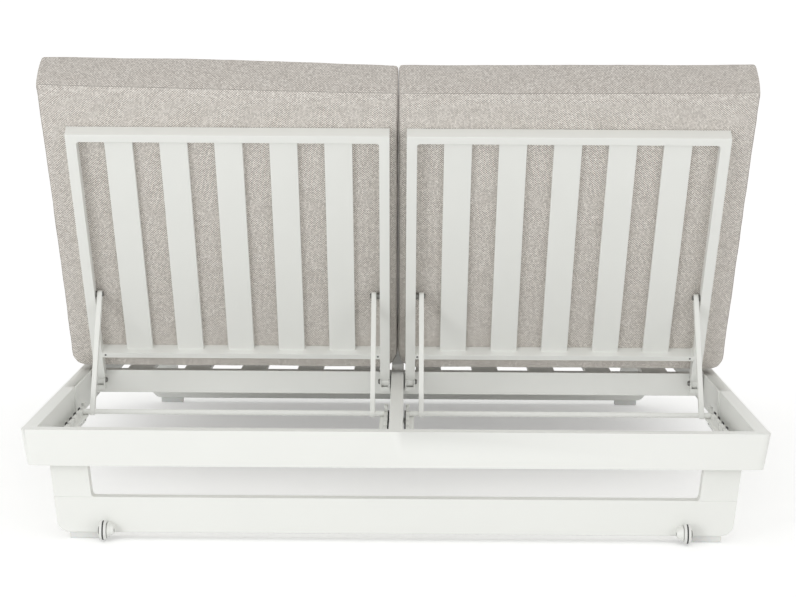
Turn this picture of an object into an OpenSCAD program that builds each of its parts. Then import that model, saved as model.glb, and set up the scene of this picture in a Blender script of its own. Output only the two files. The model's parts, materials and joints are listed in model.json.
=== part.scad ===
// Double garden lounger: one low platform on two leg frames, with two separate
// reclining backs, each held up by a U-shaped prop in toothed racks, and four loose cushions.
// Millimetres. X across (right as seen from behind), Y toward the foot end, Z up.
// The origin lies on the floor under the middle of the platform.

/* [Platform] */
// Width over the side rails at their top
platform_w = 1500; // [1200:10:1800]
// Length over the back and front rails at their top
platform_l = 1900; // [1700:10:2200]
// Height of the rail tops above the floor
rail_top = 235; // [200:1:320]
// Height of the rails
rail_h = 75; // [60:1:100]
// Width of the back and front rails at their top
back_rail_w = 34.8; // [25:0.1:50]
// Width of the side rails at their top
side_rail_w = 29.2; // [22:0.1:50]
// Distance that the outer faces lean in from top to bottom
rail_lean = 11.5; // [0:0.5:14]
// Radius of the rounded outer corners of the platform
rail_corner_r = 15; // [5:1:30]
// Wall of the metal tubes
tube_wall = 2; // [1.5:0.1:4]
// Wall of the hollow slats
slat_wall = 1.5; // [1:0.1:3]
// Half of the centre beam's width
centre_beam_half = 14; // [12:0.5:20]
// Height of the hinge cross beams
cross_beam_h = 53.4; // [40:0.1:60]
// Depth of the hinge cross beams
cross_beam_d = 30; // [20:1:50]
// Distance from the inside of the back rail to the rear face of the cross beams
bay_l = 772; // [720:1:900]
// Thickness of the inner side plates
side_plate_t = 3; // [2:0.1:12]
// Distance from the inside of the back rail to the start of the side plates
side_plate_start = 510.2; // [400:1:560]

/* [Slats] */
// Number of slats on each side of the seat
seat_slat_n = 5; // [3:1:8]
// Width of a seat slat
seat_slat_w = 60; // [40:1:70]
// Thickness of a seat slat
seat_slat_t = 12; // [8:1:20]
// Depth of the slat tops under the rail tops
seat_slat_drop = 1; // [0:0.5:5]
// Gap between the centre beam and the first seat slat
seat_slat_in = 29; // [10:1:90]
// Gap between the last seat slat and the side plate
seat_slat_out = 78.8; // [10:0.1:90]

/* [Leg frames] */
// Depth of the leg frames
leg_d = 30; // [20:1:45]
// Width of a leg post
leg_post_w = 76; // [50:1:100]
// Distance of a post's outer side inside the platform's side, at the underside of the rails
leg_inset = 49; // [45:1:120]
// Lean of the post's outer side, across per height
leg_lean_share = 0.115; // [0:0.005:0.2]
// Height of the leg frames' bottom rails
leg_rail_h = 73; // [40:1:90]
// Radius of the leg frames' outer bottom corners
leg_corner_r = 25; // [10:1:35]
// Radius of the inner corners between post and bottom rail
leg_fillet_r = 6; // [3:1:30]
// Gap between the back rail's inner face and the rear leg frame
rear_leg_gap = 25.2; // [15:0.1:60]
// Gap between the rear leg frame's top and a backrest lying flat
flat_leg_gap = 4; // [2:0.5:20]
// Gap between the front leg frame and the front rail's inner face
front_leg_gap = 79.2; // [20:0.1:200]
// Height of the foot pads
pad_h = 14; // [8:1:25]
// Width of a foot pad
pad_w = 61; // [40:1:70]
// Depth of a foot pad
pad_d = 20; // [12:1:28]
// Distance of a pad's outer end inside the leg frame's lower corner
pad_inset = 22.2; // [10:0.1:60]

/* [Wheels] */
// Radius of a wheel
wheel_r = 20; // [15:0.5:22]
// Width of a wheel
wheel_w = 14.4; // [10:0.1:20]
// Height of the wheel axis above the floor
wheel_z = 23; // [22.5:0.5:40]
// Gap between a wheel and the rear leg frame
wheel_leg_gap = 1; // [0.5:0.1:5]
// Distance of a wheel's outer face inside the foot pad
wheel_pad_gap = 4; // [2:0.5:30]
// Width of the wheel bracket
wheel_bracket_w = 14; // [8:1:20]
// Radius of the wheel bracket's round nose
wheel_bracket_r = 14; // [8:0.5:18]
// Width of the dark tread ring
tread_w = 3; // [2:0.5:6]
// Depth of the tread ring's groove
tread_depth = 4; // [2:0.5:8]
// Radius of the wheel's axle bolt
axle_r = 4; // [3:0.1:6]
// Radius of the axle bolt's head
axle_head_r = 11; // [6:0.5:14]
// Thickness of the axle bolt's head
axle_head_t = 3; // [2:0.5:6]

/* [Backrests] */
// Lean of the raised backs above the horizontal, in degrees
recline = 53.7; // [30:0.1:75]
// Distance of the hinge axis behind the cross beam
hinge_back = 12; // [12:0.5:20]
// Depth of the hinge axis under the rail tops
hinge_drop = 22; // [20:0.5:30]
// Distance of a backrest's inner side from the middle
back_inner_x = 18.2; // [16:0.1:40]
// Gap between a backrest's outer side and the side plate
back_outer_gap = 10.1; // [2:0.1:20]
// Width of a backrest post
post_w = 22.4; // [18:0.1:30]
// Depth of a backrest post
post_d = 30; // [24:1:40]
// Gap between the flat backrest's top end and the back rail
back_end_gap = 18; // [5:0.5:60]
// Distance from the hinge axis to the lower ends of the posts
post_start = 15; // [15:0.5:25]
// Distance from the hinge axis to the bottom rail
low_rail_start = 81; // [60:1:120]
// Width of the bottom rail
low_rail_w = 14; // [10:1:25]
// Width of the top rail
top_rail_w = 20; // [14:1:30]
// Depth of the top rail
top_rail_d = 30; // [14:1:40]
// Number of slats in a backrest
back_slat_n = 5; // [3:1:8]
// Width of a backrest slat
back_slat_w = 60; // [40:1:70]
// Thickness of a backrest slat
back_slat_t = 12; // [6:1:14]
// Depth of the slats behind the posts' front faces
back_slat_drop = 2; // [0:0.5:6]
// Radius of a drain hole in the bottom rail
drain_r = 3; // [1.5:0.5:4]
// Distance of the inner drain hole from the end of the bottom rail
drain_in = 5; // [4:0.5:60]
// Distance of the outer drain hole from the end of the bottom rail
drain_out = 16; // [4:0.5:60]

/* [Hinges] */
// Thickness of a clevis ear
ear_t = 3; // [2:0.5:4]
// Radius of a clevis ear
ear_r = 14; // [11:0.5:15]
// Distance that a clevis reaches down the cross beam under its round ears
ear_drop = 7; // [0:0.5:12]
// Gap between the round tongue and the clevis floor under it
tongue_gap = 1; // [0.5:0.1:3]
// Radius of the hinge tongue
tongue_r = 11; // [8:0.5:11.5]
// Radius of the hinge bolt
hinge_bolt_r = 4; // [3:0.1:5]
// Radius of the hinge bolt's head
hinge_head_r = 7; // [5:0.5:9]
// Thickness of the hinge bolt's head
hinge_head_t = 5; // [3:0.5:8]

/* [Props and racks] */
// Distance from the hinge axis to the prop's pivot, along the post
pivot_s = 268; // [240:1:300]
// Distance of the prop's pivot in front of the hinge axis
pivot_n = 7; // [0:0.5:12]
// Distance of the cross bar behind the hinge axis, back raised
bar_back = 292; // [270:1:320]
// Depth of the cross bar's axis under the hinge axis, back raised
bar_drop = 26; // [20:0.5:35]
// Radius of the cross bar
bar_r = 6; // [4:0.5:7]
// Width of a stay's flat bar
stay_w = 11; // [8:0.5:13]
// Depth of a stay's flat bar, and of its round ends
stay_d = 17; // [15:0.5:20]
// Distance of the inner stay from the middle
stay_inner_x = 54; // [50:1:80]
// Distance from the outer stay's middle to the outer post's inner face
stay_outer_in = 9.8; // [8:0.1:40]
// Radius of the prop's pivot bolt
pivot_r = 4; // [3:0.1:5]
// Radius of the pivot bolt's head and bush
pivot_head_r = 7.5; // [5:0.5:9]
// Thickness of the pivot bolt's head
pivot_head_t = 4; // [3:0.5:6]
// Thickness of a rack's toothed web
rack_t = 8; // [3:0.5:10]
// Gap between the centre beam and the inner rack
rack_gap_in = 6; // [4:0.5:14]
// Gap between the side rail and the outer rack
rack_gap_out = 16.8; // [10:0.1:20]
// Height of the tooth tips above the bar's axis
tooth_rise = 5; // [3:0.5:8]
// Height of the stop tab above the bar's axis
stop_rise = 14; // [10:0.5:16]
// Distance between neighbouring notches
notch_pitch = 62; // [50:1:66]
// Number of notches
notch_n = 5; // [3:1:5]
// Width of the ledge under the bar
ledge_w = 10; // [8:0.5:16]
// Thickness of the ledge under the bar
ledge_t = 4; // [3:0.5:6]
// Drop of the bar below its resting height while the prop moves
bar_dip = 1.2; // [0.5:0.1:4]
// Height of a rack's web below the ledge
rack_foot = 17; // [12:0.5:20]
// Radius of the bosses that carry the racks
boss_r = 6.5; // [5:0.5:8]
// Radius of the rack bolts' heads
rack_head_r = 5; // [3.5:0.5:7]
// Thickness of the rack bolts' heads
rack_head_t = 3; // [2:0.5:5]

/* [Cushions] */
// Distance that the cushions stand out over the platform's sides
cushion_overhang = 14; // [0:1:30]
// Thickness of a cushion at its middle
cushion_t = 108; // [60:1:160]
// Length of a back cushion
back_cushion_l = 820; // [600:1:950]
// Distance from the hinge axis to the back cushion's lower edge
back_cushion_start = 28; // [20:1:60]
// Distance from the hinge beams' front face to the seat cushion's rear edge
seat_cushion_gap = 78; // [70:1:200]
// Distance of the seat cushion's front edge from the platform's front end
seat_cushion_end = 5; // [0:1:60]
// Rise of a cushion's top and bottom toward the middle
crown = 7; // [3:1:30]
// Bulge of a cushion's sides between its corners
side_bulge = 6; // [0:0.5:15]
// Distance that the sides draw in from the seam to the faces
side_draw = 8; // [3:1:30]
// Radius of a cushion's corners
cushion_corner_r = 20; // [10:1:80]
// Half of the gap between the left and right cushions
cushion_half_gap = 2; // [0.5:0.5:10]

/* [Hidden] */

// Fits and small allowances
run_fit = 0.05;
face_gap = 0.3;
over = 1;
thin = 0.01;
weld_gap = 0.05;
round_fn = 64;
small_fn = 32;

// Platform
half_w = platform_w / 2;
half_l = platform_l / 2;
rail_low = rail_top - rail_h;
rail_in_y = half_l - back_rail_w;
rail_in_x = half_w - side_rail_w;
bay_front_y = bay_l - rail_in_y;
seat_start_y = bay_front_y + cross_beam_d;
plate_start_y = side_plate_start - rail_in_y;
plate_in_x = rail_in_x - side_plate_t;
beam_low = rail_top - cross_beam_h;
lean_slope = rail_lean / rail_h;
window_w = side_rail_w - rail_lean - 2 * tube_wall - 2 * face_gap;
window_h = rail_h - 4 * tube_wall;

// Seat slats, evenly spaced from the first beside the centre beam to the last
seat_slat_first = centre_beam_half + seat_slat_in + seat_slat_w / 2;
seat_slat_last = plate_in_x - seat_slat_out - seat_slat_w / 2;
seat_slat_pitch = (seat_slat_last - seat_slat_first) / (seat_slat_n - 1);
seat_slat_top = rail_top - seat_slat_drop;

// Leg frames
leg_half_w = half_w - leg_inset;
leg_low = pad_h;
leg_rail_top = leg_low + leg_rail_h;
front_leg_top = seat_slat_top - seat_slat_t - face_gap;
rear_leg_top = rail_top - post_d - flat_leg_gap;
rear_leg_y = rear_leg_gap - rail_in_y;
front_leg_y = rail_in_y - front_leg_gap - leg_d;
function leg_x(z) = leg_half_w - (rail_low - z) * leg_lean_share;

// Foot pads and wheels
pad_half_w = leg_x(leg_low) - pad_inset;
wheel_half_w = pad_half_w - pad_w - wheel_pad_gap;
wheel_y = rear_leg_y - wheel_leg_gap - wheel_r;
wheel_in_x = wheel_half_w - wheel_w;
bracket_out_x = wheel_in_x - face_gap;
bracket_in_x = bracket_out_x - wheel_bracket_w;

// Hinges and backrests: along the back is -Y and its front is +Z while it lies flat
hinge_y = bay_front_y - hinge_back;
hinge_z = rail_top - hinge_drop;
back_outer_x = plate_in_x - back_outer_gap;
back_len = hinge_y + rail_in_y - back_end_gap;
post_front = hinge_drop;
post_rear = hinge_drop - post_d;
slat_front = post_front - back_slat_drop;
post_in_a = back_inner_x + post_w;
post_in_b = back_outer_x - post_w;
back_mid_x = (back_inner_x + back_outer_x) / 2;
back_span = post_in_b - post_in_a;
back_slat_step = (back_span + back_slat_w) / (back_slat_n + 1);
slat_start = low_rail_start + low_rail_w;
slat_end = back_len - top_rail_w;
tongue_w = post_w - 2 * ear_t - 2 * face_gap;

// Props
pivot_y = hinge_y - pivot_s * cos(recline) + pivot_n * sin(recline);
pivot_z = hinge_z + pivot_s * sin(recline) + pivot_n * cos(recline);
bar_y = hinge_y - bar_back;
bar_z = hinge_z - bar_drop;
prop_len = norm([bar_y - pivot_y, bar_z - pivot_z]);
prop_angle = atan2(bar_z - pivot_z, bar_y - pivot_y);
stay_outer_x = post_in_b - stay_outer_in;
rack_in_x = centre_beam_half + rack_gap_in;
rack_out_x = rail_in_x - rack_gap_out;
bar_in_x = rack_in_x + rack_t + 1.5 * face_gap;
bar_out_x = rack_out_x - rack_t - 1.5 * face_gap;
ledge_top = bar_z - bar_r - bar_dip - face_gap;
rack_low = ledge_top - ledge_t - rack_foot;
rack_front_y = plate_start_y - face_gap;
rack_rear_y = bar_y - (notch_n - 1) * notch_pitch - notch_pitch / 3;
notch_r = bar_r + face_gap;
stop_y = bar_y + notch_pitch / 2.5;
boss_z = rack_low + boss_r + ledge_t / 2;
boss_front_y = rack_front_y - 3 * boss_r;
boss_rear_y = rack_rear_y + 3 * boss_r;

// Cushions
cushion_w = half_w + cushion_overhang - cushion_half_gap;
cushion_mid_x = cushion_half_gap + cushion_w / 2;
seat_cushion_y0 = seat_start_y + seat_cushion_gap;
seat_cushion_y1 = half_l - seat_cushion_end;
// Heights of a cushion's rings as shares of its thickness without the crowns
ring_height_shares = [0, 0.04, 0.2, 0.5, 0.8, 0.96, 1];
// How far each ring is drawn in, as shares of the side draw
ring_draw_shares = [1, 0.5, 0.15, 0, 0.15, 0.5, 1];
// Inner rings of the crowned faces: distance to the middle and rise, as shares
face_ring_shares = [[0.86, 0.42], [0.6, 0.8], [0.3, 0.96]];
corner_steps = 5;
side_steps = 6;

// Shared shapes

// A box from its two opposite corners
module span(low, high) {
    translate(low)
        cube([high[0] - low[0], high[1] - low[1], high[2] - low[2]]);
}

// A round bar along X from one place to another
module bar_x(x0, x1, r, fn = round_fn) {
    translate([x0, 0, 0])
        rotate([0, 90, 0])
            cylinder(h = x1 - x0, r = r, $fn = fn);
}

// The whole platform's outside, with its leaning faces
module platform_block() {
    hull() {
        translate([0, 0, rail_top - thin])
            linear_extrude(thin)
                rounded_plan(half_w, half_l);
        translate([0, 0, rail_low])
            linear_extrude(thin)
                rounded_plan(half_w - rail_lean, half_l - rail_lean);
    }
}

// A rectangle with rounded corners about the middle
module rounded_plan(hx, hy) {
    for (sx = [-1, 1], sy = [-1, 1])
        translate([sx * (hx - rail_corner_r), sy * (hy - rail_corner_r)])
            circle(r = rail_corner_r, $fn = small_fn);
}

// The hollow of the back or front rail, closed at both ends
module end_rail_hollow() {
    y0 = rail_in_y + tube_wall;
    y1 = half_l - tube_wall;
    xe = half_w - rail_corner_r - rail_lean;
    rotate([90, 0, 90])
        translate([0, 0, -xe])
            linear_extrude(2 * xe)
                polygon([
                    [y0, rail_low + tube_wall],
                    [y1 - rail_lean, rail_low + tube_wall],
                    [y1 - rail_lean * tube_wall / rail_h, rail_top - tube_wall],
                    [y0, rail_top - tube_wall]]);
    // openings into the side rails
    for (s = [-1, 1])
        span([s * (rail_in_x + tube_wall + window_w / 2) - window_w / 2, rail_in_y - over,
                rail_low + 2 * tube_wall],
            [s * (rail_in_x + tube_wall + window_w / 2) + window_w / 2, y0 + over,
                rail_top - 2 * tube_wall]);
}

module end_rail() {
    difference() {
        platform_block();
        span([-half_w - over, -half_l - over, rail_low - over],
            [half_w + over, rail_in_y, rail_top + over]);
        end_rail_hollow();
    }
}

module side_rail() {
    rotate([90, 0, 0])
        translate([0, 0, -rail_in_y])
            linear_extrude(2 * rail_in_y)
                difference() {
                    polygon([
                        [rail_in_x, rail_low],
                        [half_w - rail_lean, rail_low],
                        [half_w, rail_top],
                        [rail_in_x, rail_top]]);
                    polygon([
                        [rail_in_x + tube_wall, rail_low + tube_wall],
                        [half_w - rail_lean - tube_wall, rail_low + tube_wall],
                        [half_w - tube_wall, rail_top - tube_wall],
                        [rail_in_x + tube_wall, rail_top - tube_wall]]);
                }
}

// Platform

module back_rail() {
    color("gainsboro")
        mirror([0, 1, 0])
            end_rail();
}

module front_rail() {
    color("gainsboro")
        end_rail();
}

module side_rail_right() {
    color("gainsboro")
        side_rail();
}

module side_rail_left() {
    color("gainsboro")
        mirror([1, 0, 0])
            side_rail();
}

module centre_beam() {
    color("gainsboro")
        difference() {
            span([-centre_beam_half, -rail_in_y, rail_low], [centre_beam_half, rail_in_y, rail_top]);
            span([tube_wall - centre_beam_half, -rail_in_y - over, rail_low + tube_wall],
                [centre_beam_half - tube_wall, rail_in_y + over, rail_top - tube_wall]);
        }
}

module hinge_beams() {
    color("gainsboro")
        for (s = [0, 1])
            mirror([s, 0, 0])
                difference() {
                    span([centre_beam_half, bay_front_y, beam_low],
                        [plate_in_x, seat_start_y, rail_top]);
                    span([centre_beam_half - over, bay_front_y + tube_wall, beam_low + tube_wall],
                        [plate_in_x + over, seat_start_y - tube_wall, rail_top - tube_wall]);
                }
}

module side_plates() {
    color("gainsboro")
        for (s = [0, 1])
            mirror([s, 0, 0])
                span([plate_in_x, plate_start_y, rail_low], [rail_in_x, rail_in_y, rail_top]);
}

module seat_slats() {
    for (k = [0 : seat_slat_n - 1]) {
        x = seat_slat_first + k * seat_slat_pitch;
        difference() {
            span([x - seat_slat_w / 2, seat_start_y, seat_slat_top - seat_slat_t],
                [x + seat_slat_w / 2, rail_in_y, seat_slat_top]);
            span([x - seat_slat_w / 2 + slat_wall, seat_start_y - over,
                    seat_slat_top - seat_slat_t + slat_wall],
                [x + seat_slat_w / 2 - slat_wall, rail_in_y + over, seat_slat_top - slat_wall]);
        }
    }
}

module seat_slats_right() {
    color("gainsboro")
        seat_slats();
}

module seat_slats_left() {
    color("gainsboro")
        mirror([1, 0, 0])
            seat_slats();
}

// Leg frames

// Front outline of a post, its side toward the middle drawn out to a fillet at the foot
module post_outline(top) {
    inner_low = leg_x(leg_rail_top) - leg_post_w;
    polygon([
        [inner_low, leg_rail_top],
        [leg_x(leg_rail_top), leg_rail_top],
        [leg_x(top), top],
        [leg_x(top) - leg_post_w, top]]);
    difference() {
        translate([inner_low - leg_fillet_r, leg_rail_top])
            square([leg_fillet_r + leg_fillet_r * leg_lean_share, leg_fillet_r]);
        translate([inner_low - leg_fillet_r, leg_rail_top + leg_fillet_r])
            circle(r = leg_fillet_r, $fn = round_fn);
    }
}

module leg_posts(y, top) {
    hollow_low = leg_rail_top - over;
    hollow_top = top - tube_wall;
    for (s = [0, 1])
        mirror([s, 0, 0])
            translate([0, y + leg_d, 0])
                rotate([90, 0, 0])
                    difference() {
                        linear_extrude(leg_d)
                            post_outline(top);
                        translate([0, 0, tube_wall])
                            linear_extrude(leg_d - 2 * tube_wall)
                                polygon([
                                    [leg_x(hollow_low) - leg_post_w + tube_wall, hollow_low],
                                    [leg_x(hollow_low) - tube_wall, hollow_low],
                                    [leg_x(hollow_top) - tube_wall, hollow_top],
                                    [leg_x(hollow_top) - leg_post_w + tube_wall, hollow_top]]);
                    }
}

// Half outline of a bottom rail with its rounded outer corner
module leg_rail_outline(inset) {
    r = leg_corner_r - inset;
    x_low = leg_x(leg_low) - inset;
    x_top = leg_x(leg_rail_top) - inset;
    corner_x = x_low - r;
    corner_z = leg_low + inset + r;
    for (s = [0, 1])
        mirror([s, 0]) {
            polygon([
                [0, leg_low + inset],
                [corner_x, leg_low + inset],
                [corner_x, corner_z],
                [leg_x(corner_z) - inset, corner_z],
                [x_top, leg_rail_top - inset],
                [0, leg_rail_top - inset]]);
            intersection() {
                translate([corner_x, corner_z])
                    scale([(leg_x(corner_z) - inset - corner_x) / r, 1])
                        circle(r = r, $fn = round_fn);
                translate([corner_x - thin, leg_low - over])
                    square([2 * leg_corner_r, corner_z - leg_low + over + thin]);
            }
        }
}

module leg_rail(y) {
    translate([0, y + leg_d, 0])
        rotate([90, 0, 0])
            difference() {
                linear_extrude(leg_d)
                    leg_rail_outline(0);
                translate([0, 0, tube_wall]) {
                    linear_extrude(leg_d - 2 * tube_wall)
                        leg_rail_outline(tube_wall);
                    // openings into the posts
                    for (s = [0, 1])
                        mirror([s, 0, 0])
                            linear_extrude(leg_d - 2 * tube_wall)
                                translate([leg_x(leg_rail_top) - leg_post_w + 2 * tube_wall,
                                        leg_rail_top - 2 * tube_wall])
                                    square([leg_post_w - 5 * tube_wall, 3 * tube_wall]);
                }
            }
}

module rear_leg_posts() {
    color("gainsboro")
        leg_posts(rear_leg_y, rear_leg_top);
}

module rear_leg_rail() {
    color("gainsboro")
        leg_rail(rear_leg_y);
}

module front_leg_posts() {
    color("gainsboro")
        leg_posts(front_leg_y, front_leg_top);
}

module front_leg_rail() {
    color("gainsboro")
        leg_rail(front_leg_y);
}

// Wedge plates that join the post tops to the sides of the platform
module leg_bracket(y, x_side, top) {
    z0 = rail_low + tube_wall;
    translate([0, y + leg_d, 0])
        rotate([90, 0, 0])
            linear_extrude(leg_d)
                polygon([
                    [leg_x(z0), z0],
                    [x_side, z0],
                    [x_side, top],
                    [leg_x(top), top]]);
}

module leg_brackets() {
    color("gainsboro")
        for (s = [0, 1])
            mirror([s, 0, 0]) {
                leg_bracket(rear_leg_y, rail_in_x, rear_leg_top);
                leg_bracket(front_leg_y, plate_in_x, front_leg_top);
            }
}

module foot_pads() {
    color("whitesmoke")
        for (s = [0, 1], y = [rear_leg_y, front_leg_y])
            mirror([s, 0, 0])
                span([pad_half_w - pad_w, y + (leg_d - pad_d) / 2, 0],
                    [pad_half_w, y + (leg_d + pad_d) / 2, pad_h]);
}

// Wheels

module wheel_brackets() {
    color("gainsboro")
        for (s = [0, 1])
            mirror([s, 0, 0])
                difference() {
                    union() {
                        translate([0, wheel_y, wheel_z])
                            bar_x(bracket_in_x, bracket_out_x, wheel_bracket_r);
                        span([bracket_in_x, wheel_y, max(wheel_z - wheel_bracket_r, leg_low)],
                            [bracket_out_x, rear_leg_y, wheel_z + wheel_bracket_r]);
                    }
                    translate([0, wheel_y, wheel_z])
                        bar_x(bracket_in_x - over, bracket_out_x + over, axle_r + run_fit);
                }
}

module axle_bolts() {
    color("silver")
        for (s = [0, 1])
            mirror([s, 0, 0])
                translate([0, wheel_y, wheel_z]) {
                    bar_x(bracket_in_x, wheel_half_w + face_gap + axle_head_t / 2, axle_r);
                    bar_x(wheel_half_w + face_gap, wheel_half_w + face_gap + axle_head_t, axle_head_r);
                }
}

module wheel() {
    mid = wheel_half_w - wheel_w / 2;
    translate([0, wheel_y, wheel_z])
        difference() {
            bar_x(wheel_in_x, wheel_half_w, wheel_r);
            bar_x(wheel_in_x - over, wheel_half_w + over, axle_r + run_fit);
            difference() {
                bar_x(mid - tread_w / 2, mid + tread_w / 2, wheel_r + over);
                bar_x(mid - tread_w, mid + tread_w, wheel_r - tread_depth);
            }
        }
}

module tread() {
    mid = wheel_half_w - wheel_w / 2;
    translate([0, wheel_y, wheel_z])
        difference() {
            bar_x(mid - tread_w / 2, mid + tread_w / 2, wheel_r - face_gap);
            bar_x(mid - tread_w, mid + tread_w, wheel_r - tread_depth);
        }
}

module wheel_right() {
    color("whitesmoke")
        wheel();
}

module wheel_left() {
    color("whitesmoke")
        mirror([1, 0, 0])
            wheel();
}

module tread_right() {
    color("dimgray")
        tread();
}

module tread_left() {
    color("dimgray")
        mirror([1, 0, 0])
            tread();
}

// Racks

// Side outline of a rack: X is the platform's Y, Y is its height
module rack_outline() {
    difference() {
        union() {
            translate([rack_rear_y, rack_low])
                square([rack_front_y - rack_rear_y, bar_z + tooth_rise - rack_low]);
            translate([stop_y, rack_low])
                square([rack_front_y - stop_y, bar_z + stop_rise - rack_low]);
        }
        for (k = [0 : notch_n - 1])
            translate([bar_y - k * notch_pitch, bar_z]) {
                circle(r = notch_r, $fn = round_fn);
                translate([-notch_r, 0])
                    square([2 * notch_r, stop_rise + over]);
            }
        // rounded windows between the notches, along the foot
        for (k = [0 : notch_n - 2])
            translate([bar_y - (k + 0.5) * notch_pitch, boss_z])
                circle(r = boss_r / 2, $fn = round_fn);
    }
}

// A rack whose web spans x0 to x1, with its ledge and bosses toward the given places
module rack(x0, x1, ledge_x0, ledge_x1, boss_x0, boss_x1) {
    translate([x0, 0, 0])
        rotate([90, 0, 90])
            linear_extrude(x1 - x0)
                rack_outline();
    span([ledge_x0, rack_rear_y, ledge_top - ledge_t], [ledge_x1, rack_front_y, ledge_top]);
    for (y = [boss_front_y, boss_rear_y])
        translate([0, y, boss_z])
            bar_x(boss_x0, boss_x1, boss_r);
}

module racks_inner() {
    color("gainsboro")
        for (s = [0, 1])
            mirror([s, 0, 0])
                rack(rack_in_x, rack_in_x + rack_t, rack_in_x, rack_in_x + rack_t + ledge_w,
                    centre_beam_half, rack_in_x + rack_t);
}

module racks_outer() {
    color("gainsboro")
        for (s = [0, 1])
            mirror([s, 0, 0])
                rack(rack_out_x - rack_t, rack_out_x, rack_out_x - rack_t - ledge_w, rack_out_x,
                    rack_out_x - rack_t, rail_in_x);
}

module rack_bolts() {
    color("silver")
        for (s = [0, 1], y = [boss_front_y, boss_rear_y])
            mirror([s, 0, 0])
                translate([0, y, boss_z]) {
                    bar_x(rack_in_x + rack_t, rack_in_x + rack_t + rack_head_t, rack_head_r, small_fn);
                    bar_x(rack_out_x - rack_t - rack_head_t, rack_out_x - rack_t, rack_head_r, small_fn);
                }
}

// Hinges

// Side outline of a clevis ear about the hinge axis, its flat side on the cross beam
module ear_outline() {
    difference() {
        union() {
            intersection() {
                circle(r = ear_r, $fn = round_fn);
                translate([-ear_r, -ear_r])
                    square([ear_r + hinge_back, 2 * ear_r]);
            }
            translate([-ear_r, -ear_drop - ear_r])
                square([ear_r + hinge_back, ear_r + ear_drop]);
            translate([0, -ear_drop - ear_r])
                square([hinge_back, 2 * ear_r + ear_drop]);
        }
        circle(r = hinge_bolt_r + run_fit, $fn = round_fn);
    }
}

// One clevis of two ears and the floor between them, x0 its side toward the middle
module clevis(x0) {
    for (x = [x0, x0 + post_w - ear_t])
        translate([x, hinge_y, hinge_z])
            rotate([90, 0, 90])
                linear_extrude(ear_t)
                    ear_outline();
    span([x0 + ear_t + weld_gap, hinge_y - ear_r, hinge_z - ear_drop - ear_r],
        [x0 + post_w - ear_t - weld_gap, bay_front_y, hinge_z - tongue_r - tongue_gap]);
}

module hinge_brackets() {
    color("gainsboro")
        for (s = [0, 1])
            mirror([s, 0, 0]) {
                clevis(back_inner_x);
                clevis(post_in_b);
            }
}

module hinge_bolts() {
    color("silver")
        for (s = [0, 1])
            mirror([s, 0, 0])
                translate([0, hinge_y, hinge_z]) {
                    bar_x(back_inner_x, post_in_a + hinge_head_t, hinge_bolt_r);
                    bar_x(post_in_a, post_in_a + hinge_head_t, hinge_head_r, small_fn);
                    bar_x(post_in_b - hinge_head_t, back_outer_x, hinge_bolt_r);
                    bar_x(post_in_b - hinge_head_t, post_in_b, hinge_head_r, small_fn);
                }
}

// Backrests, drawn flat about the hinge axis and then leaned up

module leaned() {
    translate([0, hinge_y, hinge_z])
        rotate([-recline, 0, 0])
            children();
}

// A box given by its distances along the back from the hinge, and in front of it
module back_span(x0, x1, s0, s1, n0, n1) {
    span([x0, -s1, n0], [x1, -s0, n1]);
}

module back_posts() {
    leaned()
        for (x = [back_inner_x, post_in_b])
            difference() {
                back_span(x, x + post_w, post_start, back_len, post_rear, post_front);
                back_span(x + tube_wall, x + post_w - tube_wall, post_start + tube_wall, back_len - tube_wall,
                    post_rear + tube_wall, post_front - tube_wall);
                // slot on the hidden front face that opens the tube
                back_span(x + post_w / 2 - tube_wall, x + post_w / 2 + tube_wall, slat_start, slat_end,
                    post_front - 2 * tube_wall, post_front + over);
            }
}

module hinge_tongues() {
    leaned()
        for (x = [back_inner_x, post_in_b])
            difference() {
                union() {
                    bar_x(x + ear_t + face_gap, x + ear_t + face_gap + tongue_w, tongue_r);
                    back_span(x + ear_t + face_gap, x + ear_t + face_gap + tongue_w, 0, post_start,
                        post_rear + tube_wall, tongue_r);
                }
                bar_x(x - over, x + post_w + over, hinge_bolt_r + run_fit);
            }
}

module back_top_rail() {
    leaned()
        difference() {
            back_span(post_in_a, post_in_b, slat_end, back_len, post_rear, post_rear + top_rail_d);
            back_span(post_in_a - over, post_in_b + over, slat_end + tube_wall, back_len - tube_wall,
                post_rear + tube_wall, post_rear + top_rail_d - tube_wall);
        }
}

module back_low_rail() {
    leaned()
        difference() {
            back_span(post_in_a, post_in_b, low_rail_start, slat_start, post_rear, post_front);
            back_span(post_in_a - over, post_in_b + over, low_rail_start + tube_wall, slat_start - tube_wall,
                post_rear + tube_wall, post_front - tube_wall);
            for (x = [post_in_a + drain_in, post_in_b - drain_out])
                translate([x, over - low_rail_start, (post_rear + post_front) / 2])
                    rotate([90, 0, 0])
                        cylinder(h = tube_wall + 2 * over, r = drain_r, $fn = small_fn);
        }
}

module back_slats() {
    leaned()
        for (k = [1 : back_slat_n]) {
            x = post_in_a - back_slat_w / 2 + k * back_slat_step;
            difference() {
                back_span(x - back_slat_w / 2, x + back_slat_w / 2, slat_start, slat_end,
                    slat_front - back_slat_t, slat_front);
                back_span(x - back_slat_w / 2 + slat_wall, x + back_slat_w / 2 - slat_wall,
                    slat_start - over, slat_end + over,
                    slat_front - back_slat_t + slat_wall, slat_front - slat_wall);
            }
        }
}

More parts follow.
